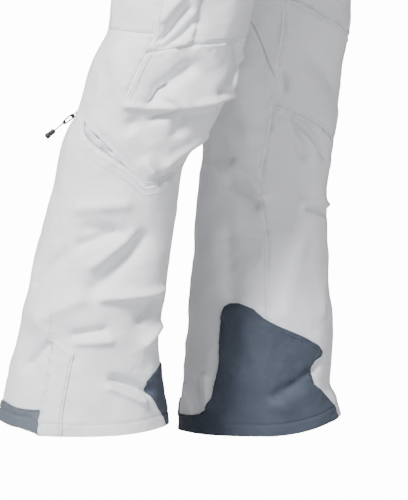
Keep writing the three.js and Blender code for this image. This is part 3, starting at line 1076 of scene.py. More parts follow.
def sew(name: str, cut: Cut, thickness: float = 2.4) -> bpy.types.Object:
    """Give a cut its thickness, inwards, with a wall all round.

    Args:
        name: the piece's name.
        cut: the cloth.
        thickness: in mm.

    Returns:
        The closed piece.
    """
    rows, columns = cut.points.shape[:2]
    count = rows * columns
    outer = cut.points.reshape(-1, 3)
    inner = (cut.points - cut.normals * thickness).reshape(-1, 3)
    index = np.arange(count).reshape(rows, columns)
    a, b = index[:-1, :-1].ravel(), index[:-1, 1:].ravel()
    c, d = index[1:, 1:].ravel(), index[1:, :-1].ravel()
    front = np.stack([a, b, c, d], axis=1)
    back = np.stack([d, c, b, a], axis=1) + count
    rim = np.concatenate(
        [index[0, :], index[1:, -1], index[-1, -2::-1], index[-2:0:-1, 0]]
    )
    after = np.roll(rim, -1)
    wall = np.stack([after, rim, rim + count, after + count], axis=1)
    faces = np.concatenate([front, back, wall])
    facing = np.cross(grid_step(cut.points, 1), grid_step(cut.points, 0))
    if (facing * cut.normals).sum() > 0:
        faces = faces[:, ::-1]
    flat = cut.plan()[2].reshape(-1, 2)
    both = np.concatenate([flat, flat])
    piece = mesh_piece(name, np.concatenate([outer, inner]), faces, both)
    mark_rim(piece, set(rim.tolist()), count)
    return piece


@dataclass
class Thread:
    """Gathers the stitches of one body, or of one panel between two bodies, into one piece."""

    length: float = 2.6
    gap: float = 1.3
    radius: float = 0.42
    points: list[Array] = field(default_factory=list)
    faces: list[tuple[int, ...]] = field(default_factory=list)
    count: int = 0

    def run(self, path: Array, normals: Array) -> None:
        """Sew a row of stitches along a path that lies on the cloth.

        Args:
            path: points in mm.
            normals: outward unit normals at the points.
        """
        steps = np.linalg.norm(np.diff(path, axis=0), axis=1)
        run = np.concatenate([[0.0], np.cumsum(steps)])
        if run[-1] < self.length:
            return
        starts = np.arange(0.3, run[-1] - self.length, self.length + self.gap)
        shares = np.array([0.0, 0.2, 0.8, 1.0])
        lifts = np.array([-0.2, 0.55, 0.55, -0.2]) * self.radius
        at = starts[:, None] + shares[None, :] * self.length
        middle = np.stack([np.interp(at, run, path[:, k]) for k in range(3)], axis=2)
        up = np.stack([np.interp(at, run, normals[:, k]) for k in range(3)], axis=2)
        up /= np.maximum(np.linalg.norm(up, axis=2), 1e-9)[..., None]
        middle += up * lifts[None, :, None]
        along = middle[:, -1] - middle[:, 0]
        along /= np.maximum(np.linalg.norm(along, axis=1), 1e-9)[:, None]
        aside = np.cross(up, along[:, None, :])
        ring = []
        for turn, wide in ((0, 1.0), (90, 1.0), (180, 1.0), (270, 1.0)):
            c, s = math.cos(math.radians(turn)), math.sin(math.radians(turn))
            fat = np.array([0.35, 1.0, 1.0, 0.35])[None, :, None] * wide
            ring.append(middle + (aside * c + up * s) * self.radius * fat)
        rings = np.stack(ring, axis=2).reshape(-1, 3)
        self.points.append(rings)
        for stitch in range(len(starts)):
            base = self.count + stitch * 16
            for k in range(3):
                for j in range(4):
                    m = (j + 1) % 4
                    self.faces.append(
                        (
                            base + 4 * k + j,
                            base + 4 * k + m,
                            base + 4 * k + 4 + m,
                            base + 4 * k + 4 + j,
                        )
                    )
            self.faces.append((base + 3, base + 2, base + 1, base))
            self.faces.append((base + 12, base + 13, base + 14, base + 15))
        self.count += len(rings)

    def knot(self, name: str) -> bpy.types.Object | None:
        """Finish the stitches as one piece.

        Args:
            name: the piece's name.

        Returns:
            The piece, or None if nothing was sewn.
        """
        if not self.points:
            return None
        points = np.concatenate(self.points)
        return mesh_piece(name, points, self.faces, points[:, :2] * MM)


@dataclass
class Follow:
    """How a piece moves: with one body; a piece given a second body is left fixed in place."""

    body: str
    other: str = ""
    start: tuple[float, float, float] = (0.0, 0.0, 0.0)
    end: tuple[float, float, float] = (0.0, 0.0, 0.0)

    def take(self, piece: bpy.types.Object) -> bpy.types.Object:
        """Attach a finished piece to its body; a piece given two bodies has its transform baked
        and is left unattached.

        Args:
            piece: the piece, in place.

        Returns:
            The same piece.
        """
        if self.other:
            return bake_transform(piece)
        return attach(piece, self.body)


def at_hip(leg: LegShape) -> Follow:
    """Cloth where the leg meets the hips, given both the seat and the thigh as bodies."""
    y = 0.0
    return Follow("seat", f"thigh_{leg.side.word}", (0, y, -195), (0, y, -330))


def at_knee(leg: LegShape) -> Follow:
    """Cloth at the knee, given both the thigh and the shin as bodies."""
    return Follow(
        f"thigh_{leg.side.word}",
        f"shin_{leg.side.word}",
        (0, 0, leg.knee + 44),
        (0, 0, leg.knee - 56),
    )


Path = Sequence[tuple[float, float]]
TURN_MM = 1.4


def even_steps(path: Path, count: int) -> Array:
    """Place points at even steps along a path of turns and heights.

    Args:
        path: turn and height of each corner.
        count: number of points.

    Returns:
        Shape (count, 2).
    """
    corners = np.array(path, float)
    steps = np.hypot(np.diff(corners[:, 0]) * TURN_MM, np.diff(corners[:, 1]))
    run = np.concatenate([[0.0], np.cumsum(steps)])
    at = np.linspace(0.0, run[-1], count)
    return np.stack([np.interp(at, run, corners[:, k]) for k in range(2)], axis=1)


def path_length(path: Path) -> float:
    """Length of a path of turns and heights, in mm."""
    corners = np.array(path, float)
    return float(
        np.hypot(np.diff(corners[:, 0]) * TURN_MM, np.diff(corners[:, 1])).sum()
    )


@dataclass
class Patch:
    """A panel of one leg between four edges, given as paths of turn and height.

    left and right run downwards, top and bottom run with rising turn. dips tell how far
    the cloth sinks at the left, right, top and bottom edge where it is sewn down.
    """

    leg: LegShape
    left: Path
    right: Path
    top: Path
    bottom: Path
    offset: float = 0.0
    dips: tuple[float, float, float, float] = (1.7, 1.7, 1.7, 1.7)
    grain: float = 3.0
    side_fade: float = -1e6

    def grid(self) -> tuple[Array, Array]:
        """Turns and heights of the panel's points.

        Returns:
            Two arrays with the shape (rows, columns).
        """
        tall = max(path_length(self.left), path_length(self.right))
        wide = max(path_length(self.top), path_length(self.bottom))
        rows = max(3, int(tall / self.grain) + 1)
        columns = max(3, int(wide / self.grain) + 1)
        left, right = even_steps(self.left, rows), even_steps(self.right, rows)
        top, bottom = even_steps(self.top, columns), even_steps(self.bottom, columns)
        u = np.linspace(0, 1, columns)[None, :, None]
        v = np.linspace(0, 1, rows)[:, None, None]
        sides = (1 - u) * left[:, None] + u * right[:, None]
        ends = (1 - v) * top[None] + v * bottom[None]
        corners = (1 - v) * ((1 - u) * top[0] + u * top[-1]) + v * (
            (1 - u) * bottom[0] + u * bottom[-1]
        )
        both = sides + ends - corners
        return both[..., 0], both[..., 1]

    def cut(self, extra: Callable[[Array, Array], Array] | None = None) -> Cut:
        """Cut the panel out.

        Args:
            extra: further offset outwards by turn and height.

        Returns:
            The cloth with its folds.
        """
        turn, z = self.grid()
        flat_turn, flat_z = turn.ravel(), z.ravel()
        plain = self.leg.base(flat_turn, flat_z)
        smooth = plain.reshape(*z.shape, 3)
        u, v = np.zeros(z.shape), np.zeros(z.shape)
        u[:, 1:] = np.cumsum(np.linalg.norm(np.diff(smooth, axis=1), axis=2), axis=1)
        v[1:] = np.cumsum(np.linalg.norm(np.diff(smooth, axis=0), axis=2), axis=0)
        gaps = (u, u[:, -1:] - u, v, v[-1:] - v)
        waves = soft_noise(plain, 6.5, self.leg.seed + 3).reshape(z.shape)
        total = np.full(z.shape, self.offset)
        # A sewn edge sinks, stands a little proud beside the stitches, and puckers.
        shown = ease(self.side_fade, self.side_fade + 20.0, z)
        for gap, dip, fade in zip(gaps, self.dips, (shown, shown, 1.0, 1.0)):
            share = dip / 1.7 * fade
            total -= dip * fade * np.exp(-((gap / 2.0) ** 2))
            total += 0.8 * share * np.exp(-(((gap - 4.6) / 2.4) ** 2))
            total += 3.0 * share * waves * np.exp(-((gap / 8.0) ** 2))
        total = total.ravel()
        if extra is not None:
            total = total + extra(flat_turn, flat_z)
        points = self.leg.cloth(flat_turn, flat_z, total).reshape(*z.shape, 3)
        normals = grid_normals(points)
        rough = self.leg.normals(flat_turn, flat_z).reshape(*z.shape, 3)
        turned = np.sign((normals * rough).sum(axis=2, keepdims=True))
        return Cut(points, normals * np.where(turned == 0, 1, turned))


def grid_normals(points: Array) -> Array:
    """Unit normals of a grid of points.

    Args:
        points: shape (rows, columns, 3).

    Returns:
        The same shape.
    """
    found = np.cross(grid_step(points, 1), grid_step(points, 0))
    return found / np.maximum(np.linalg.norm(found, axis=2, keepdims=True), 1e-9)


@dataclass
class Tailor:
    wardrobe: Wardrobe

    def finish(
        self,
        piece: bpy.types.Object,
        finish: Finish,
        follow: Follow,
        nodes: Sequence[str] = (),
    ) -> bpy.types.Object:
        """Dress a piece, tell how it moves and which nodes of the frame it stands for.

        Args:
            piece: the new piece.
            finish: what it is made of.
            follow: how it moves.
            nodes: nodes of the frame that it replaces.

        Returns:
            The same piece.
        """
        self.wardrobe.dress(piece, finish)
        if nodes:
            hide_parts(*nodes)
        follow.take(piece)
        LOG.info("%s: %d corner points", piece.name, len(piece.data.vertices))
        return piece

    def knot(
        self, thread: "Thread", name: str, finish: Finish, follow: "Follow"
    ) -> None:
        """Finish a thread's stitches as one piece, if it has any.

        Args:
            thread: where the stitches are gathered.
            name: the piece's name.
            finish: what the thread is made of.
            follow: what the piece moves with.
        """
        piece = thread.knot(name)
        if piece is not None:
            self.finish(piece, finish, follow)

    def cloth(
        self,
        name: str,
        cut: Cut,
        finish: Finish,
        follow: Follow,
        nodes: Sequence[str] = (),
        held: Hold = Hold.STRETCHED,
        thickness: float = 2.4,
    ) -> bpy.types.Object:
        """Sew one sheet of cloth.

        Args:
            name: the piece's name.
            cut: the cloth.
            finish: what it is made of.
            follow: how it moves.
            nodes: nodes of the frame that it replaces.
            held: how it is held; not used.
            thickness: in mm.

        Returns:
            The piece.
        """
        piece = sew(name, cut, thickness)
        self.finish(piece, finish, follow, nodes)
        width, length, _, area = cut.plan()
        width, length = max(width, 0.0101), max(length, 0.0101)
        return piece


# ---------------------------------------------------------------------------
# One leg
# ---------------------------------------------------------------------------

VENT_TURNS = (-26.0, 66.0)
# Length of path for each place that a row of stitches is worked out at, in mm.
STITCH_STEP = 1.5
# Distances of the side seam's two rows of stitches from it, in mm.
SIDE_STITCHES = (-3.0, -6.2)


def spaced(low: float, high: float, count: int) -> list[float]:
    """Evenly spaced numbers, both ends included."""
    return [float(k) for k in np.linspace(low, high, count)]


@dataclass
class Leg:
    """Cloth, zips, patches and stitches of one leg."""

    shape: LegShape
    tailor: Tailor
    seams: Thread = field(default_factory=Thread)
    knee_seams: Thread = field(default_factory=Thread)
    dark_seams: Thread = field(default_factory=Thread)
    pocket_height: float = 150.0
    pocket_bulge: float = 5.5
    flap_height: float = 34.0
    gaiter_height: float = 85.0

    @property
    def word(self) -> str:
        """The side's word in names."""
        return self.shape.side.word

    def named(self, text: str) -> str:
        """A piece's name on this leg."""
        return f"{text}_{self.word}"

    def fitted(
        self, rows: Sequence[tuple[float, float]], drop: float = OUTER_DROP
    ) -> list[tuple[float, float]]:
        """Fit edges given above the knee to this leg's length.

        Args:
            rows: turn and height above the knee.
            drop: knee to hem in the rows' own measure.

        Returns:
            Turn and height in the garment's frame.
        """
        ratio = (self.shape.hem - self.shape.knee) / drop
        return [lifted(t, self.shape.knee + d * ratio) for t, d in rows]

    def stitch_places(self, path: Path) -> Array:
        """Evenly spaced turns and heights along a seam, one for each short step."""
        return even_steps(path, max(4, int(path_length(path) / STITCH_STEP)))

    def part(
        self, table: Sequence[tuple[float, float]], low: float, high: float
    ) -> list[tuple[float, float]]:
        """Cut a stretch between two turns out of a table of heights above the knee.

        Args:
            table: turn and height above the knee.
            low: first turn.
            high: last turn.

        Returns:
            Turn and height in the garment's frame.
        """
        inside = [t for t, _ in table if low + 0.01 < t < high - 0.01]
        turns = [low, *inside, high]
        return [lifted(t, self.shape.knee + along(table, t)) for t in turns]

    def side_seam(self, top: float, bottom: float) -> list[tuple[float, float]]:
        """The outer side seam between two heights above the knee, from the top down."""
        rise = np.linspace(top, bottom, max(3, int(abs(top - bottom) / 12)))
        turns = along_table(SIDE_SEAM, rise)
        return [lifted(float(t), self.shape.knee + float(r)) for t, r in zip(turns, rise)]

    def inseam(self, top: float, bottom: float, wrap: float = 0.0) -> Path:
        """The wandering inner seam between two heights, from the top down.

        Args:
            top: first height in the garment's frame.
            bottom: last height.
            wrap: added to the turns, -360 for the front edge.

        Returns:
            Turn and height of its points.
        """
        heights = spaced(top, bottom, 24)
        return [(along(INSEAM, z - self.shape.knee) + wrap, z) for z in heights]

    def stitch(
        self,
        thread: Thread,
        path: Path,
        lift: float = 0.1,
        aside: float = 0.0,
    ) -> None:
        """Sew a row of stitches on the leg.

        Args:
            thread: where the stitches are gathered.
            path: turns and heights of the seam.
            lift: height over the cloth in mm.
            aside: distance from the seam in mm, to the right of its direction.
        """
        at = self.stitch_places(path)
        points = self.shape.cloth(at[:, 0], at[:, 1], lift)
        normals = self.shape.normals(at[:, 0], at[:, 1])
        if aside:
            along = np.gradient(points, axis=0)
            along /= np.maximum(np.linalg.norm(along, axis=1), 1e-9)[:, None]
            points = points + np.cross(along, normals) * aside
        thread.run(points, normals)

    def thighs(self) -> None:
        """Front and back of the hip and thigh, in one cut each from waist to knee."""
        knee = self.shape.knee
        top = -40.0
        side_top = -40.0 - knee
        follow = at_hip(self.shape)
        front = Patch(
            self.shape,
            left=[(-88.4, top), (-88.4, -158.0), (-90.0, -168.0), (-90.0, -225.0),
                  (-180.0, -226.0), *self.inseam(-235.0, knee + 117, -360.0)],
            right=self.side_seam(side_top, 43.5),
            top=[(-88.4, top), (15.0, top)],
            bottom=self.part(FRONT_SEAM, -177.0, 18.6),
            dips=(0.8, 1.5, 0.5, 1.5),
            grain=3.8,
        )
        back = Patch(
            self.shape,
            left=self.side_seam(side_top, 66.0),
            right=[(90.0, top), (90.0, -225.0), (180.0, -226.0),
                   *self.inseam(-235.0, knee + 13.5)],
            top=[(15.0, top), (90.0, top)],
            bottom=self.part(BACK_SEAM, 19.6, 182.0),
            dips=(1.5, 0.8, 0.5, 0.9),
            grain=3.8,
        )
        self.tailor.cloth(
            self.named("thigh_front_cloth"), front.cut(), Wardrobe.SHELL, follow,
            [f"front_panel_{self.word}", f"thigh_front_{self.word}"],
        )
        self.tailor.cloth(
            self.named("thigh_back_cloth"), back.cut(), Wardrobe.SHELL, follow,
            [f"seat_panel_{self.word}", f"thigh_back_{self.word}"],
        )
        seam = self.side_seam(side_top, 60.0)
        for aside in SIDE_STITCHES:
            self.stitch(self.seams, seam, 0.2, aside)
        low_front = self.part(FRONT_SEAM, -176.0, 16.0)
        low_back = self.part(BACK_SEAM, 24.0, 181.0)
        for rows in (low_front, low_back):
            for gap in (3.0, 6.0):
                raised = [(t, z + gap) for t, z in rows]
                self.stitch(self.seams, raised, 0.25)
        self.stitch(self.seams, self.inseam(-240.0, knee + 120), 0.2, 3.0)

    def knee(self) -> None:
        """Front knee panel and the back of the knee, down to the upper vent edge."""
        knee = self.shape.knee
        follow = at_knee(self.shape)
        side = self.side_seam(43.5, -68.0)
        front = Patch(
            self.shape,
            left=self.inseam(knee + 117.5, knee - 16.5, -360.0),
            right=side,
            top=self.part(FRONT_SEAM, -177.0, 18.6),
            bottom=self.part(VENT_UPPER, -179.4, side[-1][0]),
            dips=(0.9, 1.5, 1.6, 0.7),
            side_fade=knee - 12.0,
            grain=2.5,
        )
        back_side = self.side_seam(66.0, -68.0)
        back = Patch(
            self.shape,
            left=back_side,
            right=self.inseam(knee + 13.5, knee - 16.5),
            top=self.part(BACK_SEAM, 19.6, 182.0),
            bottom=self.part(VENT_UPPER, back_side[-1][0], 180.6),
            dips=(1.5, 0.9, 0.9, 0.0),
            side_fade=knee - 12.0,
            grain=2.5,
        )
        self.tailor.cloth(
            self.named("knee_front_cloth"), front.cut(), Wardrobe.SHELL, follow,
            [f"knee_panel_{self.word}"],
        )
        self.tailor.cloth(
            self.named("knee_back_cloth"), back.cut(), Wardrobe.SHELL, follow
        )
        for aside in SIDE_STITCHES:
            self.stitch(self.knee_seams, self.side_seam(44.0, -14.0), 0.3, aside)
        path = [(t, z - 3.0) for t, z in self.part(FRONT_SEAM, -174.0, 14.0)]
        self.stitch(self.knee_seams, path, 0.2)
        upper = self.part(VENT_UPPER, -177.0, 64.0)
        for gap in (3.0, 6.5):
            self.stitch(self.knee_seams, [(t, z + gap) for t, z in upper], 0.2)
        self.stitch(self.knee_seams, self.inseam(knee + 106, knee - 14), 0.2, 3.0)

    def shin(self) -> None:
        """Outer and inner shin, from the lower vent edge to the hem."""
        knee = self.shape.knee
        follow = at_knee(self.shape)
        front, back = -96.0, 96.0
        low = self.shape.hem
        front_edge = self.upright(front)
        back_edge = self.upright(back)
        outer = Patch(
            self.shape, left=front_edge, right=back_edge,
            top=self.part(VENT_LOWER, front, back), bottom=self.hem_path(front, back),
            dips=(0.0, 0.0, 0.7, 0.0), grain=2.3,
        )
        inner_back = Patch(
            self.shape, left=back_edge, right=self.inseam(knee - 16.5, low),
            top=self.part(VENT_LOWER, back, 180.6), bottom=self.hem_path(back, 186.0),
            dips=(0.0, 1.3, 0.0, 0.0), grain=2.5,
        )
        inner_front = Patch(
            self.shape, left=self.inseam(knee - 16.5, low, -360.0), right=front_edge,
            top=self.part(VENT_LOWER, -179.4, front), bottom=self.hem_path(-174.0, front),
            dips=(1.3, 0.0, 1.5, 0.0), grain=2.5,
        )
        self.tailor.cloth(
            self.named("shin_outer_cloth"), outer.cut(), Wardrobe.SHELL, follow,
            [f"shin_outer_{self.word}"],
        )
        self.tailor.cloth(
            self.named("shin_inner_front_cloth"), inner_front.cut(), Wardrobe.SHELL,
            follow, [f"shin_inner_{self.word}"],
        )
        self.tailor.cloth(
            self.named("shin_inner_back_cloth"), inner_back.cut(), Wardrobe.SHELL, follow
        )
        vent = self.part(VENT_LOWER, -60.0, 62.0)
        for drop in (4.0, 12.0):
            self.stitch(self.knee_seams, [(t, z - drop) for t, z in vent], 0.2)
        ring_front = self.part(VENT_LOWER, -177.0, -64.0)
        self.stitch(self.knee_seams, [(t, z - 3.2) for t, z in ring_front], 0.2)
        inner = self.inseam(knee - 24.0, self.shape.hem + 142)
        self.stitch(self.knee_seams, inner, 0.2, 3.0)

    def upright(self, turn: float) -> Path:
        """A straight edge down the shin from the lower vent edge to the hem."""
        top = lifted(turn, self.shape.knee + along(VENT_LOWER, turn))[1]
        low = float(self.shape.hem_at(np.array([turn]))[0])
        return [(turn, z) for z in spaced(top, low, 6)]

    def hem_path(self, low: float, high: float, lift: float = 0.0) -> Path:
        """The bottom edge between two turns, raised by lift."""
        turns = np.array(spaced(low, high, 9))
        return list(zip(turns.tolist(), (self.shape.hem_at(turns) + lift).tolist()))

    def vent(self) -> None:
        """Zip tapes, teeth and gathered lining in the slit behind and below the knee."""
        knee = self.shape.knee
        follow = at_knee(self.shape)
        low, high = VENT_TURNS
        turns = np.array(spaced(low, high, 25))
        upper = np.array([lifted(t, knee + along(VENT_UPPER, t))[1] for t in turns])
        lower = np.array([lifted(t, knee + along(VENT_LOWER, t))[1] for t in turns])
        reach = np.minimum(1.5 + 2.0 * ease(40.0, 60.0, turns), 0.4 * (upper - lower))
        rows = {
            "upper": (upper + 5.0, upper - reach),
            "lower": (lower + 1.2 + reach, lower - 5.0),
        }
        for name, (top, bottom) in rows.items():
            tape = Patch(
                self.shape,
                left=[(low, top[0]), (low, bottom[0] - 0.01)],
                right=[(high, top[-1]), (high, bottom[-1] - 0.01)],
                top=list(zip(turns, top)),
                bottom=list(zip(turns, bottom)),
                offset=-3.0,
                dips=(0.0, 0.0, 0.0, 0.0),
                grain=1.7,
            )
            nodes = [f"vent_zip_{self.word}"] if name == "upper" else []
            self.tailor.cloth(
                self.named(f"vent_tape_{name}"), tape.cut(),
                Wardrobe.TAPE if name == "upper" else Wardrobe.PALE_TAPE, follow,
                nodes, thickness=0.8,
            )
            edge = bottom if name == "upper" else top
            self.vent_teeth(name, np.stack([turns, edge], axis=1)[1:-1])
        middle = (upper + lower) / 2

        def puffs(turn: Array, z: Array) -> Array:
            """Gathers of the lining, fullest in the middle of the slit."""
            off = (z - np.interp(turn, turns, middle)) / 8.5
            full = np.exp(-(off**2)) * np.clip((turn - low) / 14.0, 0, 1)
            gathers = np.sin(np.radians(turn) * 17 + off * 1.4) * 1.1
            gathers += np.sin(np.radians(turn) * 41 - off * 2.0) * 0.5
            return full * (4.6 + 2.2 * gathers) * np.clip((high + 4 - turn) / 12.0, 0, 1)

        facing = Patch(
            self.shape,
            left=[(low, lower[0] + 0.8), (low, lower[0] - 4)],
            right=[(high - 2, lower[-1] + 1.6), (high - 2, lower[-1] - 4)],
            top=list(zip(turns, lower + 0.8 + 0.8 * ease(low, low + 16.0, turns))),
            bottom=list(zip(turns, lower - 4)),
            offset=-1.5, dips=(0.0, 0.0, 0.3, 0.0), grain=1.5,
        )
        self.tailor.cloth(
            self.named("vent_facing"), facing.cut(), Wardrobe.SHELL, follow, thickness=1.0
        )

        lining = Patch(
            self.shape,
            left=[(low - 4, upper[0] + 9), (low - 4, lower[0] - 9)],
            right=[(high + 4, upper[-1] + 9), (high + 4, lower[-1] - 9)],
            top=list(zip(turns, upper + 9)),
            bottom=list(zip(turns, lower - 9)),
            offset=-8.0,
            dips=(0.0, 0.0, 0.0, 0.0),
            grain=1.8,
        )
        # The lining's greyed colour is painted shade inside the slit.
        self.tailor.cloth(
            self.named("vent_lining_cloth"), lining.cut(puffs), Wardrobe.LINING, follow,
            [f"vent_lining_{self.word}"], held=Hold.GATHERED, thickness=1.2,
        )

    def vent_teeth(self, name: str, edge: Array) -> None:
        """A row of moulded teeth along the free edge of a vent tape.

        Args:
            name: which tape.
            edge: turn and height along its free edge.
        """
        at = even_steps([tuple(k) for k in edge], 400)
        points = self.shape.cloth(at[:, 0], at[:, 1], -2.4)
        normals = self.shape.normals(at[:, 0], at[:, 1])
        side = -1.0 if name == "upper" else 1.0
        teeth = row_of_teeth(
            self.named(f"vent_teeth_{name}"), points, normals, side, 2.3
        )
        finish = Wardrobe.METAL if name == "upper" else Wardrobe.COIL
        self.tailor.finish(teeth, finish, at_knee(self.shape))

    def cuff(self) -> None:
        """Kick patch, heel band, ankle placket and hem stitches."""
        follow = Follow(f"shin_{self.word}")

        def scaled(rows: Sequence[tuple[float, float]]) -> list[tuple[float, float]]:
            """Turns and heights of places given on the inner face, fitted to the hem."""
            return self.fitted([(lean(u, 180), d) for u, d in rows], INNER_DROP)

        back_edge = scaled(
            [(0.53, -291), (0.54, -319), (0.54, -363), (0.6, -397), (0.69, -416),
             (0.8, -423), (0.995, -419)]
        )
        top_edge = scaled(
            [(0.53, -291), (0.5, -281), (0.43, -277), (0.29, -277), (0.09, -284),
             (-0.06, -297), (-0.24, -306), (-0.6, -321), (-0.78, -331), (-0.84, -341)]
        )
        front_edge = scaled(
            [(-0.84, -341), (-0.78, -349), (-0.72, -357), (-0.71, -367), (-0.74, -380),
             (-0.86, -391), (-0.94, -410)]
        )
        start, end = back_edge[-1][0], front_edge[-1][0]
        lift = 0.4
        low = self.hem_path(start, end, lift)
        left = [*back_edge, (start, low[0][1])]
        right = [*front_edge, (end, low[-1][1])]
        kick = Patch(
            self.shape, left=left, right=right, top=top_edge, bottom=low, offset=2.1,
            dips=(0.9, 0.9, 0.9, 0.2), grain=2.3,
        )
        # The kick patch nylon's darker colour holds painted shade.
        self.tailor.cloth(
            self.named("kick_patch_cloth"), kick.cut(), Wardrobe.KICK, follow,
            [f"kick_patch_{self.word}"], thickness=1.6,
        )
        rim = [*reversed(back_edge), *top_edge[1:], *front_edge[1:]]
        for aside in (1.8, 4.4):
            self.stitch(self.dark_seams, rim, 2.1, aside)
        if self.shape.side is Side.RIGHT:
            self.front_guard(follow)
        self.heel_band(follow)
        self.placket(follow)
        for low_turn, high_turn in ((-86.0, 9.0), (-176.0, -104.0)):
            rows = self.hem_path(low_turn, high_turn, 15.0)
            self.stitch(self.knee_seams, rows, 0.25)

    def front_guard(self, follow: Follow) -> None:
        """The kick patch's tongue that turns round the front of the ankle."""
        rows = [(-0.985, -338), (-0.9, -349), (-0.81, -360), (-0.82, -368),
                (-0.84, -374), (-0.89, -384), (-0.93, -394), (-0.97, -404)]
        outer = self.fitted([(lean(u), d) for u, d in rows])
        bottom = float(self.shape.hem_at(np.array([-90.0]))[0]) + 0.4
        right = [*outer, (-80.0, bottom)]
        left = [(-108.0, z) for z in spaced(outer[0][1], bottom, 5)]
        patch = Patch(
            self.shape, left=left, right=right,
            top=[(-108.0, outer[0][1]), (outer[0][0], outer[0][1])],
            bottom=[(-108.0, bottom), (-80.0, bottom)],
            offset=1.7, dips=(0.3, 0.8, 0.5, 0.2), grain=1.9,
        )
        self.tailor.cloth(
            self.named("kick_guard_cloth"), patch.cut(), Wardrobe.KICK, follow,
            thickness=1.4,
        )
        self.stitch(self.dark_seams, outer, 1.9, 1.8)

    def heel_band(self, follow: Follow) -> None:
        """The darker band round the back of the hem."""
        top = [(29.5, -394), (35.0, -394.5), (45.0, -393.5), (54.0, -391), (70.0, -385),
               (84.0, -381), (90.0, -387), (95.0, -402)]
        top = self.fitted(top)
        bottom = self.hem_path(29.5, 95.0, 0.3)
        patch = Patch(
            self.shape,
            left=[top[0], bottom[0]], right=[top[-1], bottom[-1]], top=top,
            bottom=bottom, offset=1.8, dips=(0.5, 0.4, 0.8, 0.2), grain=2.2,
        )
        # The heel band nylon's paler colour is painted light.
        self.tailor.cloth(
            self.named("heel_band_cloth"), patch.cut(), Wardrobe.HEEL, follow,
            [f"heel_band_{self.word}"], thickness=1.6,
        )
        rows = [(t, z - 1.9) for t, z in top]
        self.stitch(self.dark_seams, rows, 1.9)

    def placket(self, follow: Follow) -> None:
        """The overlapping flap of the outer ankle, with its slanted top."""
        outer_edge = [(32.0, -308), (31.3, -314), (30.0, -338), (30.0, -386), (31.5, -404)]
        inner_edge = [(8.6, -325), (10.4, -357), (12.7, -392), (13.3, -404)]
        right, left = self.fitted(outer_edge), self.fitted(inner_edge)
        bottom = self.hem_path(13.3, 31.5, 0.2)
        left, right = [*left, bottom[0]], [*right, bottom[-1]]
        top = [left[0], *self.fitted([(20.0, -316)]), right[0]]
        patch = Patch(
            self.shape, left=left, right=right, top=top, bottom=bottom, offset=2.0,
            dips=(0.4, 0.9, 0.7, 0.2), grain=2.0,
        )
        self.tailor.cloth(
            self.named("ankle_placket_cloth"), patch.cut(), Wardrobe.SHELL, follow,
            [f"ankle_placket_{self.word}"], thickness=1.8,
        )
        for gap in (2.6, 5.4):
            self.stitch(self.knee_seams, [(t - gap / TURN_MM, z) for t, z in right], 2.2)
        self.stitch(self.knee_seams, [(t + 2.0, z) for t, z in left], 2.2)
        self.stitch(self.knee_seams, self.fitted([(26.0, -314), (15.0, -324)]), 2.2)
        self.stitch(self.knee_seams, self.fitted([(32.0, -276), (32.0, -304)]), 0.2)

    def gaiter(self) -> None:
        """The inner cuff that grips the boot, gathered on elastic at its lower edge."""
        high = self.shape.hem + 8.0 + self.gaiter_height

        def narrowing(turn: Array, z: Array) -> Array:
            """The elastic draws the lower edge in and ruffles it."""
            share = np.clip((high - z) / self.gaiter_height, 0, 1)
            ruffle = np.sin(np.radians(turn) * 34) + 0.5 * np.sin(np.radians(turn) * 57)
            return -7.5 * share + 0.9 * ruffle * share**1.5

        for name, start, stop in (("outer", -90.0, 90.0), ("inner", 90.0, 270.0)):
            hem = self.hem_path(start, stop, 8.0)
            patch = Patch(
                self.shape,
                left=[(start, high), hem[0]], right=[(stop, high), hem[-1]],
                top=[(start, high), (stop, high)], bottom=hem,
                offset=-5.2, dips=(0.0, 0.0, 0.0, 0.0), grain=3.6,
            )
            nodes = [f"snow_gaiter_{self.word}"] if name == "outer" else []
            self.tailor.cloth(
                self.named(f"snow_gaiter_{name}"), patch.cut(narrowing),
                Wardrobe.LINING, Follow(f"shin_{self.word}"), nodes,
                held=Hold.GATHERED, thickness=1.4,
            )

    def pocket(self) -> None:
        """Patch pocket with a bellows edge on the outer thigh, and its flap."""
        knee = self.shape.knee
        thigh = Follow(f"thigh_{self.word}")
        low, high = knee + 53.0, knee + 50.0 + self.pocket_height
        left_turn, right_turn = -14.6, 16.6

        def bulge(turn: Array, z: Array) -> Array:
            """The pocket stands off the leg away from its sewn sides and bottom."""
            side = np.minimum(turn - left_turn, right_turn - turn) * TURN_MM
            rise = np.clip(side / 7.0, 0, 1) * np.clip((z - low) / 60.0, 0, 1)
            return self.pocket_bulge * rise**0.6

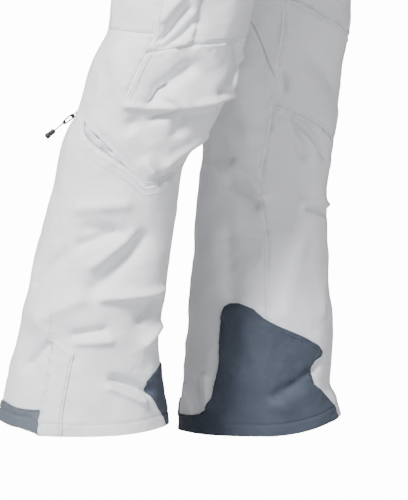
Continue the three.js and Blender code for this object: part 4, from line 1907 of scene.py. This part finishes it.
        seam = self.part(FRONT_SEAM, left_turn, right_turn)
        body = Patch(
            self.shape,
            left=[(left_turn, high), (left_turn, seam[0][1])],
            right=[(right_turn, high), (right_turn, seam[-1][1])],
            top=[(left_turn, high), (right_turn, high)],
            bottom=seam,
            offset=1.9, dips=(1.2, 0.6, 0.0, 1.5), grain=2.4,
        )
        self.tailor.cloth(
            self.named("cargo_pocket_cloth"), body.cut(bulge), Wardrobe.SHELL, thigh,
            [f"cargo_pocket_{self.word}"], thickness=1.8,
        )
        rows = [(left_turn + 2.2, high - 40), (left_turn + 2.2, low + 4),
                (right_turn - 2.2, low + 3), (right_turn - 2.2, high - 40)]
        at = self.stitch_places(rows)
        lift = 2.35 + bulge(at[:, 0], at[:, 1])
        points = self.shape.cloth(at[:, 0], at[:, 1], lift)
        self.pocket_thread(points, self.shape.normals(at[:, 0], at[:, 1]))
        top = high + 12.0
        flap = Patch(
            self.shape,
            left=[(left_turn - 1.6, top), (left_turn - 1.6, top - self.flap_height)],
            right=[(right_turn + 1.2, top), (right_turn + 1.2, top - self.flap_height)],
            top=[(left_turn - 1.6, top), (right_turn + 1.2, top)],
            bottom=[(left_turn - 1.6, top - self.flap_height), (0.0, top - self.flap_height - 3),
                    (right_turn + 1.2, top - self.flap_height)],
            offset=2.4, dips=(0.0, 0.0, 1.0, 0.0), grain=2.4,
        )

        def over(turn: Array, z: Array) -> Array:
            """The flap lies over the pocket's mouth."""
            return (self.pocket_bulge + 2.6) * ease(top, top - 13.0, z)

        self.tailor.cloth(
            self.named("cargo_flap_cloth"), flap.cut(over), Wardrobe.SHELL,
            Follow(f"cargo_flap_{self.word}"), [f"cargo_flap_{self.word}"], thickness=2.0,
        )

    def pocket_thread(self, points: Array, normals: Array) -> None:
        """Stitches round the edge of the cargo pocket."""
        thread = Thread()
        thread.run(points, normals)
        self.tailor.knot(
            thread, self.named("cargo_pocket_stitches"), Wardrobe.THREAD,
            Follow(f"thigh_{self.word}"),
        )

    def knot_threads(self) -> None:
        """Finish the stitches gathered so far."""
        shape = self.shape
        rows = (
            ("thigh_stitches", self.seams, Wardrobe.THREAD, at_hip(shape)),
            ("knee_and_shin_stitches", self.knee_seams, Wardrobe.THREAD, at_knee(shape)),
            ("kick_patch_stitches", self.dark_seams, Wardrobe.DARK_THREAD,
             Follow(f"shin_{self.word}")),
        )
        for name, thread, finish, follow in rows:
            self.tailor.knot(thread, self.named(name), finish, follow)

    def sew_all(self) -> None:
        """Build the whole leg."""
        self.thighs()
        self.pocket()
        self.knee()
        self.shin()
        self.vent()
        self.cuff()
        self.gaiter()
        self.knot_threads()


def row_of_teeth(
    name: str, points: Array, normals: Array, side: float, pitch: float
) -> bpy.types.Object:
    """Small moulded teeth standing along a path.

    Args:
        name: the piece's name.
        points: the path in mm.
        normals: outward normals along it.
        side: which side of the path the teeth reach to, 1 or -1.
        pitch: distance between teeth in mm.

    Returns:
        One piece with all the teeth.
    """
    steps = np.linalg.norm(np.diff(points, axis=0), axis=1)
    run = np.concatenate([[0.0], np.cumsum(steps)])
    at = np.arange(pitch / 2, run[-1], pitch)
    seats = np.stack([np.interp(at, run, points[:, k]) for k in range(3)], axis=1)
    up = np.stack([np.interp(at, run, normals[:, k]) for k in range(3)], axis=1)
    ahead = np.stack(
        [np.interp(at + 0.5, run, points[:, k]) for k in range(3)], axis=1
    ) - np.stack([np.interp(at - 0.5, run, points[:, k]) for k in range(3)], axis=1)
    ahead /= np.maximum(np.linalg.norm(ahead, axis=1), 1e-9)[:, None]
    across = np.cross(up, ahead) * side
    corners = []
    for lift, wide in ((-0.7, 0.5), (0.9, 0.42)):
        for out, length in ((-1.2, wide), (1.3, wide * 0.8)):
            for end in (-1, 1):
                corners.append(
                    seats + up * lift + across * out + ahead * (end * length * pitch / 2)
                )
    grid = np.stack(corners, axis=1)
    box = ((0, 1, 3, 2), (4, 6, 7, 5), (0, 4, 5, 1), (2, 3, 7, 6), (0, 2, 6, 4), (1, 5, 7, 3))
    faces = [tuple(8 * k + c for c in f) for k in range(len(at)) for f in box]
    return mesh_piece(name, grid.reshape(-1, 3), faces, smooth=False)


def along(table: Sequence[tuple[float, float]], key: float) -> float:
    """Read one value of a two-column table."""
    return float(along_table(table, np.array([key]))[0])


# ---------------------------------------------------------------------------
# Waist
# ---------------------------------------------------------------------------


# Cloth per degree of turn round the hips, the step of their stitches, and the gap from
# a tab's long edges to its stitches, in mm.
HIP_TURN_MM = 1.7
HIP_STITCH_STEP = 1.6
TAB_STITCH_GAP = 2.5


def hip_points(turn: Array, z: Array, offset: Array | float) -> tuple[Array, Array]:
    """Points and normals round the hips.

    Args:
        turn: degrees, 0 the wearer's left, 90 the back, 270 the front.
        z: heights.
        offset: distance outwards in mm.

    Returns:
        Points and unit normals.
    """

    def plain(angle: Array) -> Array:
        """The hip shell without folds."""
        left = np.cos(np.radians(angle)) >= 0
        own = np.where(left, angle, 180.0 - angle)
        out, y = HIPS.section(centred(own), z)
        return np.stack([np.where(left, out, -out), y, z], axis=1)

    ahead, behind = plain(turn + 0.8), plain(turn - 0.8)
    normals = np.cross(ahead - behind, np.array([0.0, 0.0, 1.0]))
    normals /= np.maximum(np.linalg.norm(normals, axis=1), 1e-9)[:, None]
    points = plain(turn)
    lift = np.broadcast_to(np.asarray(offset, float), (len(points),))
    return points + normals * lift[:, None], normals


@dataclass
class Strap:
    """A band of cloth on the hips between two turns and two heights."""

    start: float
    stop: float
    low: float
    high: float
    offset: float
    grain: float = 3.0
    ripple: float = 0.35

    def cut(self, profile: Callable[[Array, Array], Array] | None = None) -> Cut:
        """Cut the band out.

        Args:
            profile: further offset by turn and height.

        Returns:
            The cloth.
        """
        wide = abs(self.stop - self.start) * 2.4
        columns = max(5, int(wide / self.grain) + 1)
        rows = max(5, int((self.high - self.low) / self.grain) + 1)
        turn, z = np.meshgrid(
            np.linspace(self.start, self.stop, columns),
            np.linspace(self.high, self.low, rows),
        )
        flat_turn, flat_z = turn.ravel(), z.ravel()
        plain, _ = hip_points(flat_turn, flat_z, 0.0)
        offset = self.offset + self.ripple * soft_noise(plain, 13.0, 5.0)
        if profile is not None:
            offset = offset + profile(flat_turn, flat_z)
        points, normals = hip_points(flat_turn, flat_z, offset)
        return Cut(points.reshape(*z.shape, 3), normals.reshape(*z.shape, 3))


@dataclass
class Waist:
    """Waistband, belt loops, closure, fly, side adjusters and hand pockets."""

    tailor: Tailor
    hips: HipShape = HIPS
    loop_width: float = 10.0
    loop_reach: float = 8.6
    fly_length: float = 118.0
    pocket_length: float = 105.0
    pocket_angle: float = 48.0
    seams: Thread = field(default_factory=Thread)

    def stitch(self, turns: Sequence[float], heights: Sequence[float], lift: float) -> None:
        """Sew a row of stitches on the hips.

        Args:
            turns: turn of each corner of the row.
            heights: height of each corner.
            lift: height over the hip shell in mm.
        """
        path = [(t * HIP_TURN_MM, z) for t, z in zip(turns, heights)]
        at = even_steps(path, max(4, int(path_length(path) / HIP_STITCH_STEP)))
        self.seams.run(*hip_points(at[:, 0] / HIP_TURN_MM, at[:, 1], lift))

    def band(self) -> None:
        """Waistband in three lengths with rolled edges and two rows of stitches."""
        low = -self.hips.band_height

        def roll(turn: Array, z: Array) -> Array:
            """Edges roll in where the band is turned over."""
            gap = np.minimum(-z, z - low)
            return -1.3 * np.exp(-((gap / 2.0) ** 2)) + 0.5 * np.exp(
                -(((gap - 6.0) / 3.0) ** 2)
            )

        rows = (("back", 0.4, 179.6), ("front_right", 180.4, 269.7), ("front_left", 270.3, 359.6))
        for name, start, stop in rows:
            strap = Strap(start, stop, low, 0.0, 3.0, grain=2.6)
            self.tailor.cloth(
                f"waistband_{name}_cloth", strap.cut(roll), Wardrobe.SHELL,
                Follow("seat"), [f"waistband_{name}"], thickness=3.2,
            )
            turns = spaced(start + 1, stop - 1, 40)
            for z in (-3.6, low + 3.6):
                self.stitch(turns, [z] * 40, 3.5)

    def loops(self) -> None:
        """Belt loops that stand off the band, tacked at both ends."""
        rows = (
            ("back", 90.0), ("side_right", 180.0), ("side_left", 0.0),
            ("front_right", 250.0), ("front_left", 290.0),
        )
        low = -self.hips.band_height
        for name, turn in rows:
            seat, out = hip_points(np.array([turn]), np.array([-20.0]), 3.6)
            out = out[0]
            side = np.cross(out, [0.0, 0.0, 1.0])
            t = np.linspace(0.0, 1.0, 25)
            z = -0.4 + t * (low + 0.8)
            off = self.loop_reach * np.clip(np.minimum(t, 1 - t) / 0.11, 0, 1) ** 0.8
            across = np.linspace(-0.5, 0.5, 6) * self.loop_width
            base = np.stack([seat[0] + out * o for o in off])
            base[:, 2] = z
            grid = base[:, None, :] + side[None, None, :] * across[None, :, None]
            normals = grid_normals(grid)
            normals *= np.sign((normals @ out).mean()) or 1.0
            self.tailor.cloth(
                f"belt_loop_{name}_cloth", Cut(grid, normals), Wardrobe.SHELL,
                Follow("seat"), [f"belt_loop_{name}"], thickness=1.6,
            )
            for height in (-2.0, low + 2.0):
                for gap in (0.0, 1.1):
                    row = np.stack([seat[0] + side * k for k in np.linspace(-4, 4, 8)])
                    row[:, 2] = height + gap
                    row += out * 2.2
                    self.seams.run(row, np.tile(out, (8, 1)))

    def tab(
        self, body: str, strap: Strap, cloth: Finish, thread_finish: Finish, inset: float,
        steps: int, lift: float,
    ) -> None:
        """A tab on the band, with a row of stitches round it.

        Args:
            body: the tab's body and node.
            strap: its place on the band.
            cloth: what the tab is made of.
            thread_finish: what its stitches are made of.
            inset: degrees from its ends to the stitches.
            steps: places that the row of stitches is worked out at.
            lift: height of the stitches over the hip shell in mm.
        """
        self.tailor.cloth(
            f"{body}_cloth", strap.cut(), cloth, Follow(body), [body], thickness=1.8
        )
        near, far = strap.start + inset, strap.stop - inset
        low, high = strap.low + TAB_STITCH_GAP, strap.high - TAB_STITCH_GAP
        corners = [(near, high), (near, low), (far, low), (far, high), (near, high)]
        at = even_steps([(t * HIP_TURN_MM, z) for t, z in corners], steps)
        thread = Thread()
        thread.run(*hip_points(at[:, 0] / HIP_TURN_MM, at[:, 1], lift))
        self.tailor.knot(thread, f"{body}_stitches", thread_finish, Follow(body))

    def closure(self) -> None:
        """Tab over the front of the band."""
        low = -self.hips.band_height + 6
        strap = Strap(262.0, 278.0, low, -6.0, 7.4, grain=2.2, ripple=0.2)
        self.tab("waist_tab", strap, Wardrobe.SHELL, Wardrobe.THREAD, 1.3, 70, 7.7)

    def adjusters(self) -> None:
        """Side tabs that take the waist in."""
        low = -self.hips.band_height + 9
        for word, start, stop in (("right", 186.0, 216.0), ("left", 324.0, 354.0)):
            strap = Strap(start, stop, low, -9.0, 6.0, grain=2.2, ripple=0.25)
            body = f"waist_adjuster_{word}"
            self.tab(body, strap, Wardrobe.KICK, Wardrobe.DARK_THREAD, 1.4, 90, 6.2)

    def zips(self) -> None:
        """Fly and hand pocket zips: tape, teeth and stitches beside them."""
        top = -self.hips.band_height - 0.4
        z = np.linspace(top, top - self.fly_length, 60)
        # The tape and teeth follow the straight line that the slider runs along.
        slider, run = Seat3.of("fly_zip_slider").centre, Seat3.of("fly_zip_tape_right").axes[0]
        y = slider[1] + (z - slider[2]) * run[1] / run[2]
        for word, side in (("right", -1.0), ("left", 1.0)):
            x = side * np.linspace(0.3, 6.4, 4)
            behind, down = (np.tile(k[:, None], (1, 4)) for k in (y + 0.5, z))
            grid = np.stack([np.tile(x, (60, 1)), behind, down], axis=2)
            normals = np.tile(np.array([0.0, -1.0, 0.0]), (60, 4, 1))
            self.tailor.cloth(
                f"fly_zip_tape_{word}_cloth", Cut(grid, normals), Wardrobe.TAPE,
                Follow("seat"), [f"fly_zip_tape_{word}"], thickness=0.9,
            )
            for gap in (7.5, 33.0):
                turn = 270.0 + side * math.degrees(gap / 128.0)
                self.stitch([turn, turn], [top - 2, top - self.fly_length], 0.5)
        path = np.stack([np.zeros(60), y, z], axis=1)
        out = np.tile(np.array([0.0, -1.0, 0.0]), (60, 1))
        teeth = row_of_teeth("fly_zip_teeth", path, out, 1.0, 2.0)
        self.tailor.finish(teeth, Wardrobe.METAL, Follow("seat"))
        high = top - 22.0
        for word, sign in (("right", -1.0), ("left", 1.0)):
            turn = 270.0 + sign * self.pocket_angle
            strap = Strap(turn - 2.4, turn + 2.4, high - self.pocket_length, high, 1.2, ripple=0.1)
            self.tailor.cloth(
                f"hand_pocket_zip_{word}_cloth", strap.cut(), Wardrobe.TAPE,
                Follow("seat"), [f"hand_pocket_zip_{word}"], thickness=0.8,
            )
            z_run = np.linspace(high - 2, high - self.pocket_length + 2, 60)
            teeth = row_of_teeth(
                f"hand_pocket_teeth_{word}",
                *hip_points(np.full(60, turn), z_run, 1.8), 1.0, 2.0,
            )
            self.tailor.finish(teeth, Wardrobe.RUBBER, Follow("seat"))
            for side in (-1, 1):
                edge = [turn + side * 3.4] * 2
                self.stitch(edge, [high + 3, high - self.pocket_length - 3], 0.5)

    def gusset(self) -> None:
        """Diamond of cloth under the crotch, over the end of the rise seam."""
        rows, columns = 41, 15
        turn = np.linspace(128.0, 232.0, rows)
        across = np.linspace(-1.0, 1.0, columns)
        wide = 26.0 * (1 - np.abs(np.linspace(-1, 1, rows)) ** 1.4) + 3.0
        grid = np.zeros((rows, columns, 3))
        normals = np.zeros((rows, columns, 3))
        for j, share in enumerate(across):
            leg = LEFT_LEG if share > 0 else RIGHT_LEG
            z = -226.0 - wide * abs(share)
            grid[:, j] = leg.base(turn, z)
            normals[:, j] = leg.normals(turn, z)
        middle = columns // 2
        grid[:, middle, 0] = 0.0
        normals[:, middle] = (0.0, 0.0, -1.0)
        grid += normals * 1.6
        self.tailor.cloth(
            "crotch_gusset_cloth", Cut(grid, normals), Wardrobe.SHELL, Follow("seat"),
            ["crotch_gusset"], thickness=1.4,
        )

    def sew_all(self) -> None:
        """Build everything round the waist."""
        self.band()
        self.loops()
        self.closure()
        self.adjusters()
        self.zips()
        self.gusset()
        self.tailor.knot(self.seams, "waist_stitches", Wardrobe.THREAD, Follow("seat"))


# ---------------------------------------------------------------------------
# Sliders, pullers and press stud
# ---------------------------------------------------------------------------


@dataclass
class Seat3:
    """Where a piece of hardware sits: its centre, axes by length and sizes, in mm."""

    centre: Array
    axes: Array
    sizes: Array

    @classmethod
    def of(cls, node: str) -> "Seat3":
        """Read the place of a node of the frame.

        Args:
            node: the node's name.

        Returns:
            Its centre, axes with the longest first, and full sizes.
        """
        piece = bpy.data.objects[node]
        corners = np.array([piece.matrix_world @ v.co for v in piece.data.vertices])
        corners = corners / MM
        corners = np.unique(corners.round(2), axis=0)
        centre = (corners.max(axis=0) + corners.min(axis=0)) / 2
        spread = corners - corners.mean(axis=0)
        axes = np.linalg.svd(spread, full_matrices=False)[2]
        reach = spread @ axes.T
        middle = (reach.max(axis=0) + reach.min(axis=0)) / 2
        centre = corners.mean(axis=0) + middle @ axes
        return cls(centre, axes, np.ptp(reach, axis=0))

    def place(self, points: Array) -> Array:
        """Move points given along length, width and thickness into place."""
        return self.centre + points @ self.axes


def plate(
    outline: Sequence[tuple[float, float]], low: float, high: float, bevel: float
) -> tuple[Array, list[tuple[int, ...]]]:
    """A plate with bevelled edges, from its outline.

    Args:
        outline: corners in order, anticlockwise.
        low: bottom.
        high: top.
        bevel: size of the bevel.

    Returns:
        Points and faces.
    """
    ring = np.array(outline, float)
    centre = ring.mean(axis=0)
    away = ring - centre
    length = np.linalg.norm(away, axis=1, keepdims=True)
    inner = centre + away * np.maximum(0.0, 1 - bevel / np.maximum(length, 1e-6))
    levels = [(inner, low), (ring, low + bevel), (ring, high - bevel), (inner, high)]
    points = np.concatenate([np.column_stack([r, np.full(len(r), h)]) for r, h in levels])
    n = len(ring)
    faces: list[tuple[int, ...]] = []
    for level in range(3):
        for k in range(n):
            m = (k + 1) % n
            a, b = level * n + k, level * n + m
            faces.append((a, b, b + n, a + n))
    faces.append(tuple(range(n - 1, -1, -1)))
    faces.append(tuple(range(3 * n, 4 * n)))
    return points, faces


def tube(
    path: Array, radii: Sequence[float], sides: int = 10
) -> tuple[Array, list[tuple[int, ...]]]:
    """A closed round tube along a path.

    Args:
        path: points along the middle.
        radii: radius at each point.
        sides: corners round it.

    Returns:
        Points and faces.
    """
    path = np.asarray(path, float)
    ahead = np.gradient(path, axis=0)
    ahead /= np.maximum(np.linalg.norm(ahead, axis=1), 1e-9)[:, None]
    helper = np.array([0.31, 0.17, 0.93])
    first = np.cross(ahead, helper)
    first /= np.maximum(np.linalg.norm(first, axis=1), 1e-9)[:, None]
    second = np.cross(ahead, first)
    angle = np.linspace(0, 2 * math.pi, sides, endpoint=False)
    ring = (
        first[:, None] * np.cos(angle)[None, :, None]
        + second[:, None] * np.sin(angle)[None, :, None]
    )
    points = path[:, None] + ring * np.asarray(radii, float)[:, None, None]
    faces: list[tuple[int, ...]] = []
    for k in range(len(path) - 1):
        for j in range(sides):
            m = (j + 1) % sides
            faces.append((k * sides + j, k * sides + m, (k + 1) * sides + m, (k + 1) * sides + j))
    faces.append(tuple(range(sides - 1, -1, -1)))
    last = (len(path) - 1) * sides
    faces.append(tuple(range(last, last + sides)))
    return points.reshape(-1, 3), faces


@dataclass
class Hardware:
    """Metal and rubber pieces, each in the place of its node of the frame."""

    tailor: Tailor

    def join(
        self,
        name: str,
        solids: Iterable[tuple[Array, list[tuple[int, ...]]]],
        finish: Finish,
        body: str,
        node: str,
        smooth: bool = False,
    ) -> None:
        """Make one piece out of several closed solids.

        Args:
            name: the piece's name.
            solids: points and faces of each.
            finish: what it is made of.
            body: the body that it moves with.
            node: the node that it stands for.
            smooth: whether it is shaded smooth.
        """
        points: list[Array] = []
        faces: list[tuple[int, ...]] = []
        count = 0
        for corners, around in solids:
            points.append(corners)
            faces.extend(tuple(k + count for k in f) for f in around)
            count += len(corners)
        piece = mesh_piece(name, np.concatenate(points), faces, smooth=smooth)
        self.tailor.finish(piece, finish, Follow(body), [node] if node else [])

    def slider(self, node: str, body: str, wide: float) -> None:
        """A zip slider: two wings with a waist, side walls and a bridge.

        Args:
            node: the node that it stands for.
            body: the body that it moves with.
            wide: width of its broad end in mm.
        """
        seat = Seat3.of(node)
        half = seat.sizes[0] / 2
        w = wide / 2
        outline = [
            (-half, -w * 0.62), (-half * 0.3, -w * 0.78), (half * 0.35, -w), (half, -w * 0.82),
            (half * 0.72, -w * 0.2), (half * 0.72, w * 0.2), (half, w * 0.82),
            (half * 0.35, w), (-half * 0.3, w * 0.78), (-half, w * 0.62),
        ]
        solids = []
        for low, high in ((-1.7, -0.6), (0.6, 1.5)):
            points, faces = plate(outline, low, high, 0.3)
            solids.append((seat.place(points), faces))
        wall = [(half * 0.2, -0.9), (half * 0.7, -0.9), (half * 0.7, 0.9), (half * 0.2, 0.9)]
        points, faces = plate(wall, -0.7, 0.7, 0.1)
        solids.append((seat.place(points), faces))
        turns = np.linspace(0, math.pi, 9)
        arch = np.stack(
            [-np.cos(turns) * half * 0.6, np.zeros(9), 1.3 + np.sin(turns) * 1.5], axis=1
        )
        points, faces = tube(seat.place(arch), [0.75] * 9, 8)
        solids.append((points, faces))
        self.join(f"{node}_cast", solids, Wardrobe.METAL, body, node)

    def puller(
        self, node: str, body: str, hook: Array | None = None, on_edge: bool = False
    ) -> None:
        """A puller plate with rounded ends and a slot for a cord.

        Args:
            node: the node that it stands for.
            body: the body that it moves with.
            hook: middle of the slider that it hangs from, if a ring joins them.
            on_edge: turn the plate a quarter round its length.
        """
        seat = Seat3.of(node)
        half, w, t = seat.sizes[0] / 2, seat.sizes[1] / 2, seat.sizes[2] / 2
        if on_edge:
            seat.axes = seat.axes[[0, 2, 1]] * np.array([[1.0], [1.0], [-1.0]])
        solids = []
        if hook is not None:
            # The ring that hooks the plate to its slider.
            turns = np.linspace(0, 2 * math.pi, 17)
            near = hook - seat.centre
            start = seat.centre + seat.axes[0] * np.sign(near @ seat.axes[0]) * half * 0.9
            middle, reach = (start + hook) / 2, (hook - start) / 2 * 1.25
            aside = seat.axes[1] * 1.9
            ring = middle + np.cos(turns)[:, None] * reach + np.sin(turns)[:, None] * aside
            solids.append(tube(ring, [0.7] * 17, 8))
        for side in (-1, 1):
            bar = [(-half * 0.72, side * w * 1.05), (half * 0.72, side * w * 0.9),
                   (half * 0.72, side * w * 0.34), (-half * 0.72, side * w * 0.42)]
            if side < 0:
                bar = bar[::-1]
            points, faces = plate(bar[::-1], -t, t, 0.12)
            solids.append((seat.place(points), faces))
        for end, broad in ((-1, 0.95), (1, 0.8)):
            angles = np.linspace(-math.pi / 2, math.pi / 2, 7)
            cap = [
                (end * (half * 0.66 + math.cos(a) * half * 0.34), math.sin(a) * w * broad)
                for a in angles
            ]
            cap.append((end * half * 0.5, w * broad * 0.9))
            cap.append((end * half * 0.5, -w * broad * 0.9))
            points, faces = plate(cap if end > 0 else cap[::-1], -t, t, 0.15)
            solids.append((seat.place(points), faces))
        self.join(f"{node}_plate", solids, Wardrobe.METAL, body, node)

    def grip(self, word: str) -> None:
        """Cord through the vent puller and the moulded rubber end on it.

        Args:
            word: which leg.
        """
        node = f"vent_grip_{word}"
        seat = Seat3.of(node)
        puller = Seat3.of(f"vent_puller_{word}")
        away = seat.centre - puller.centre
        away /= np.linalg.norm(away)
        start = seat.centre - away * seat.sizes[0] / 2
        side = np.cross(away, puller.axes[2])
        side /= np.linalg.norm(side)
        solids = []
        for lean_out in (-1.0, 1.0):
            t = np.linspace(0, 1, 12)
            bow = lean_out * 1.35 * np.sin(math.pi * np.clip(t * 0.9 + 0.05, 0, 1))
            path = start + away * (-3.4 + t[:, None] * 17.4) + side * bow[:, None]
            solids.append(tube(path, [0.8] * 12, 8))
        t = np.array([0.0, 0.02, 0.06, 0.3, 0.34, 0.4, 0.44, 0.5, 0.54, 0.6, 0.64, 0.9, 0.97, 1.0])
        fat = np.array([0.5, 2.1, 2.9, 3.3, 2.8, 2.8, 3.5, 3.5, 2.8, 2.8, 3.6, 3.5, 2.7, 1.0])
        path = start + away * (12.0 + t[:, None] * (seat.sizes[0] - 12.0))
        solids.append(tube(path, fat, 14))
        self.join(
            f"{node}_cord_and_end", solids, Wardrobe.RUBBER, f"vent_pull_{word}", node, True
        )

    def stud(self) -> None:
        """The press stud's cap and socket, as turned discs."""
        for node, body, profile in (
            ("waist_snap_cap", "waist_tab",
             ((0.0, 0.9), (3.4, 0.85), (4.2, 0.45), (5.2, 0.8), (6.2, 0.55), (6.5, 0.0),
              (6.2, -0.9), (0.0, -0.9))),
            ("waist_snap_stud", "seat",
             ((0.0, 0.6), (2.0, 0.6), (2.3, 0.1), (4.4, 0.1), (5.0, -0.2), (5.0, -0.6),
              (0.0, -0.6))),
        ):
            seat = Seat3.of(node)
            angle = np.linspace(0, 2 * math.pi, 28, endpoint=False)
            points = [
                seat.centre + np.array([math.cos(a) * r, -h, math.sin(a) * r])
                for r, h in profile[1:-1]
                for a in angle
            ]
            n, levels = 28, len(profile) - 2
            faces = [
                (k * n + j, (k + 1) * n + j, (k + 1) * n + (j + 1) % n, k * n + (j + 1) % n)
                for k in range(levels - 1)
                for j in range(n)
            ]
            faces.append(tuple(range(n)))
            faces.append(tuple(range(levels * n - 1, (levels - 1) * n - 1, -1)))
            self.join(
                f"{node}_turned", [(np.array(points), faces)], Wardrobe.METAL, body, node
            )

    def fit_all(self) -> None:
        """Fit every slider, puller, grip and stud."""
        for name in ("fly_zip", "hand_pocket_right", "hand_pocket_left"):
            self.slider(f"{name}_slider", f"{name}_slider", 8.0)
            self.puller(f"{name}_puller", f"{name}_puller")
        for word in ("right", "left"):
            self.slider(f"vent_slider_{word}", f"vent_slider_{word}", 8.0)
            hook = Seat3.of(f"vent_slider_{word}").centre
            self.puller(f"vent_puller_{word}", f"vent_pull_{word}", hook, True)
            self.grip(word)
        self.stud()


# ---------------------------------------------------------------------------
# Studio
# ---------------------------------------------------------------------------


@dataclass(frozen=True)
class Studio:
    """Pale floor, bright surroundings, soft lights and the camera."""

    eye: tuple[float, float, float] = (-5.077, 0.0866, -0.275)
    target: tuple[float, float, float] = (-0.104, 0.0866, -0.798)
    lens_mm: float = 295.0
    floor_height: float = -1.113
    backdrop: float = 14.0
    ambient: float = 0.22

    def floor(self) -> None:
        """A wide white paper floor at the height of the boots' soles."""
        size, z = 6.0, self.floor_height / MM
        points = np.array([(-size, -size, 0), (size, -size, 0), (size, size, 0), (-size, size, 0)])
        points = points / MM
        points[:, 2] = z
        piece = mesh_piece("studio_floor", points, [(0, 1, 2, 3)], smooth=False)
        material, tree = start_material("white_paper_floor")
        paper = add_node(
            tree, "ShaderNodeBsdfDiffuse", {"Color": linear("#b8b8ba")}, {}
        )
        glow = add_node(tree, "ShaderNodeEmission", {"Strength": self.backdrop}, {})
        seen = add_node(tree, "ShaderNodeLightPath", {}, {})
        mix = add_node(tree, "ShaderNodeMixShader", {}, {})
        tree.links.new(seen.outputs["Is Camera Ray"], mix.inputs[0])
        tree.links.new(paper.outputs[0], mix.inputs[1])
        tree.links.new(glow.outputs[0], mix.inputs[2])
        add_node(tree, "ShaderNodeOutputMaterial", {}, {"Surface": mix.outputs[0]})
        piece.data.materials.append(material)

    def light(
        self, name: str, place: tuple[float, float, float], power: float, size: float
    ) -> None:
        """Hang one soft square light that points at the knees.

        Args:
            name: the light's name.
            place: in metres.
            power: in watts.
            size: side in metres.
        """
        data = bpy.data.lights.new(name, "AREA")
        data.energy, data.size = power, size
        lamp = bpy.data.objects.new(name, data)
        bpy.context.scene.collection.objects.link(lamp)
        lamp.location = place
        aim = Vector(self.target) - Vector(place)
        lamp.rotation_euler = aim.to_track_quat("-Z", "Y").to_euler()

    def surroundings(self) -> None:
        """Even white light from all round."""
        world = bpy.data.worlds.new("white_studio")
        bpy.context.scene.world = world
        world.use_nodes = True
        tree = world.node_tree
        background = tree.nodes["Background"]
        background.inputs["Color"].default_value = linear("#ffffff")
        seen = add_node(tree, "ShaderNodeLightPath", {}, {})
        level = add_node(tree, "ShaderNodeMapRange", {}, {"Value": seen.outputs["Is Camera Ray"]})
        level.inputs["To Min"].default_value = self.ambient
        level.inputs["To Max"].default_value = self.backdrop
        tree.links.new(level.outputs["Result"], background.inputs["Strength"])

    def camera(self) -> None:
        """The camera, level with the waist and square to the wearer's right side."""
        data = bpy.data.cameras.new("camera")
        data.lens = self.lens_mm
        view = bpy.data.objects.new("camera", data)
        bpy.context.scene.collection.objects.link(view)
        view.location = self.eye
        aim = Vector(self.target) - Vector(self.eye)
        view.rotation_euler = aim.to_track_quat("-Z", "Y").to_euler()
        bpy.context.scene.camera = view

    def set_up(self) -> None:
        """Build the whole studio."""
        self.floor()
        self.surroundings()
        self.light("key_light", (-2.5, 1.5, 1.9), 385.0, 0.8)
        self.light("fill_light", (-2.4, -2.7, -0.1), 42.0, 1.8)
        self.camera()


def main() -> None:
    """Build the garment from the waist down, then the studio."""
    logging.basicConfig(level=logging.INFO, format="%(message)s")
    tailor = Tailor(Wardrobe())
    Waist(tailor).sew_all()
    for shape in (RIGHT_LEG, LEFT_LEG):
        Leg(shape, tailor).sew_all()
    Hardware(tailor).fit_all()
    Studio().set_up()


if __name__ == "__main__":
    main()
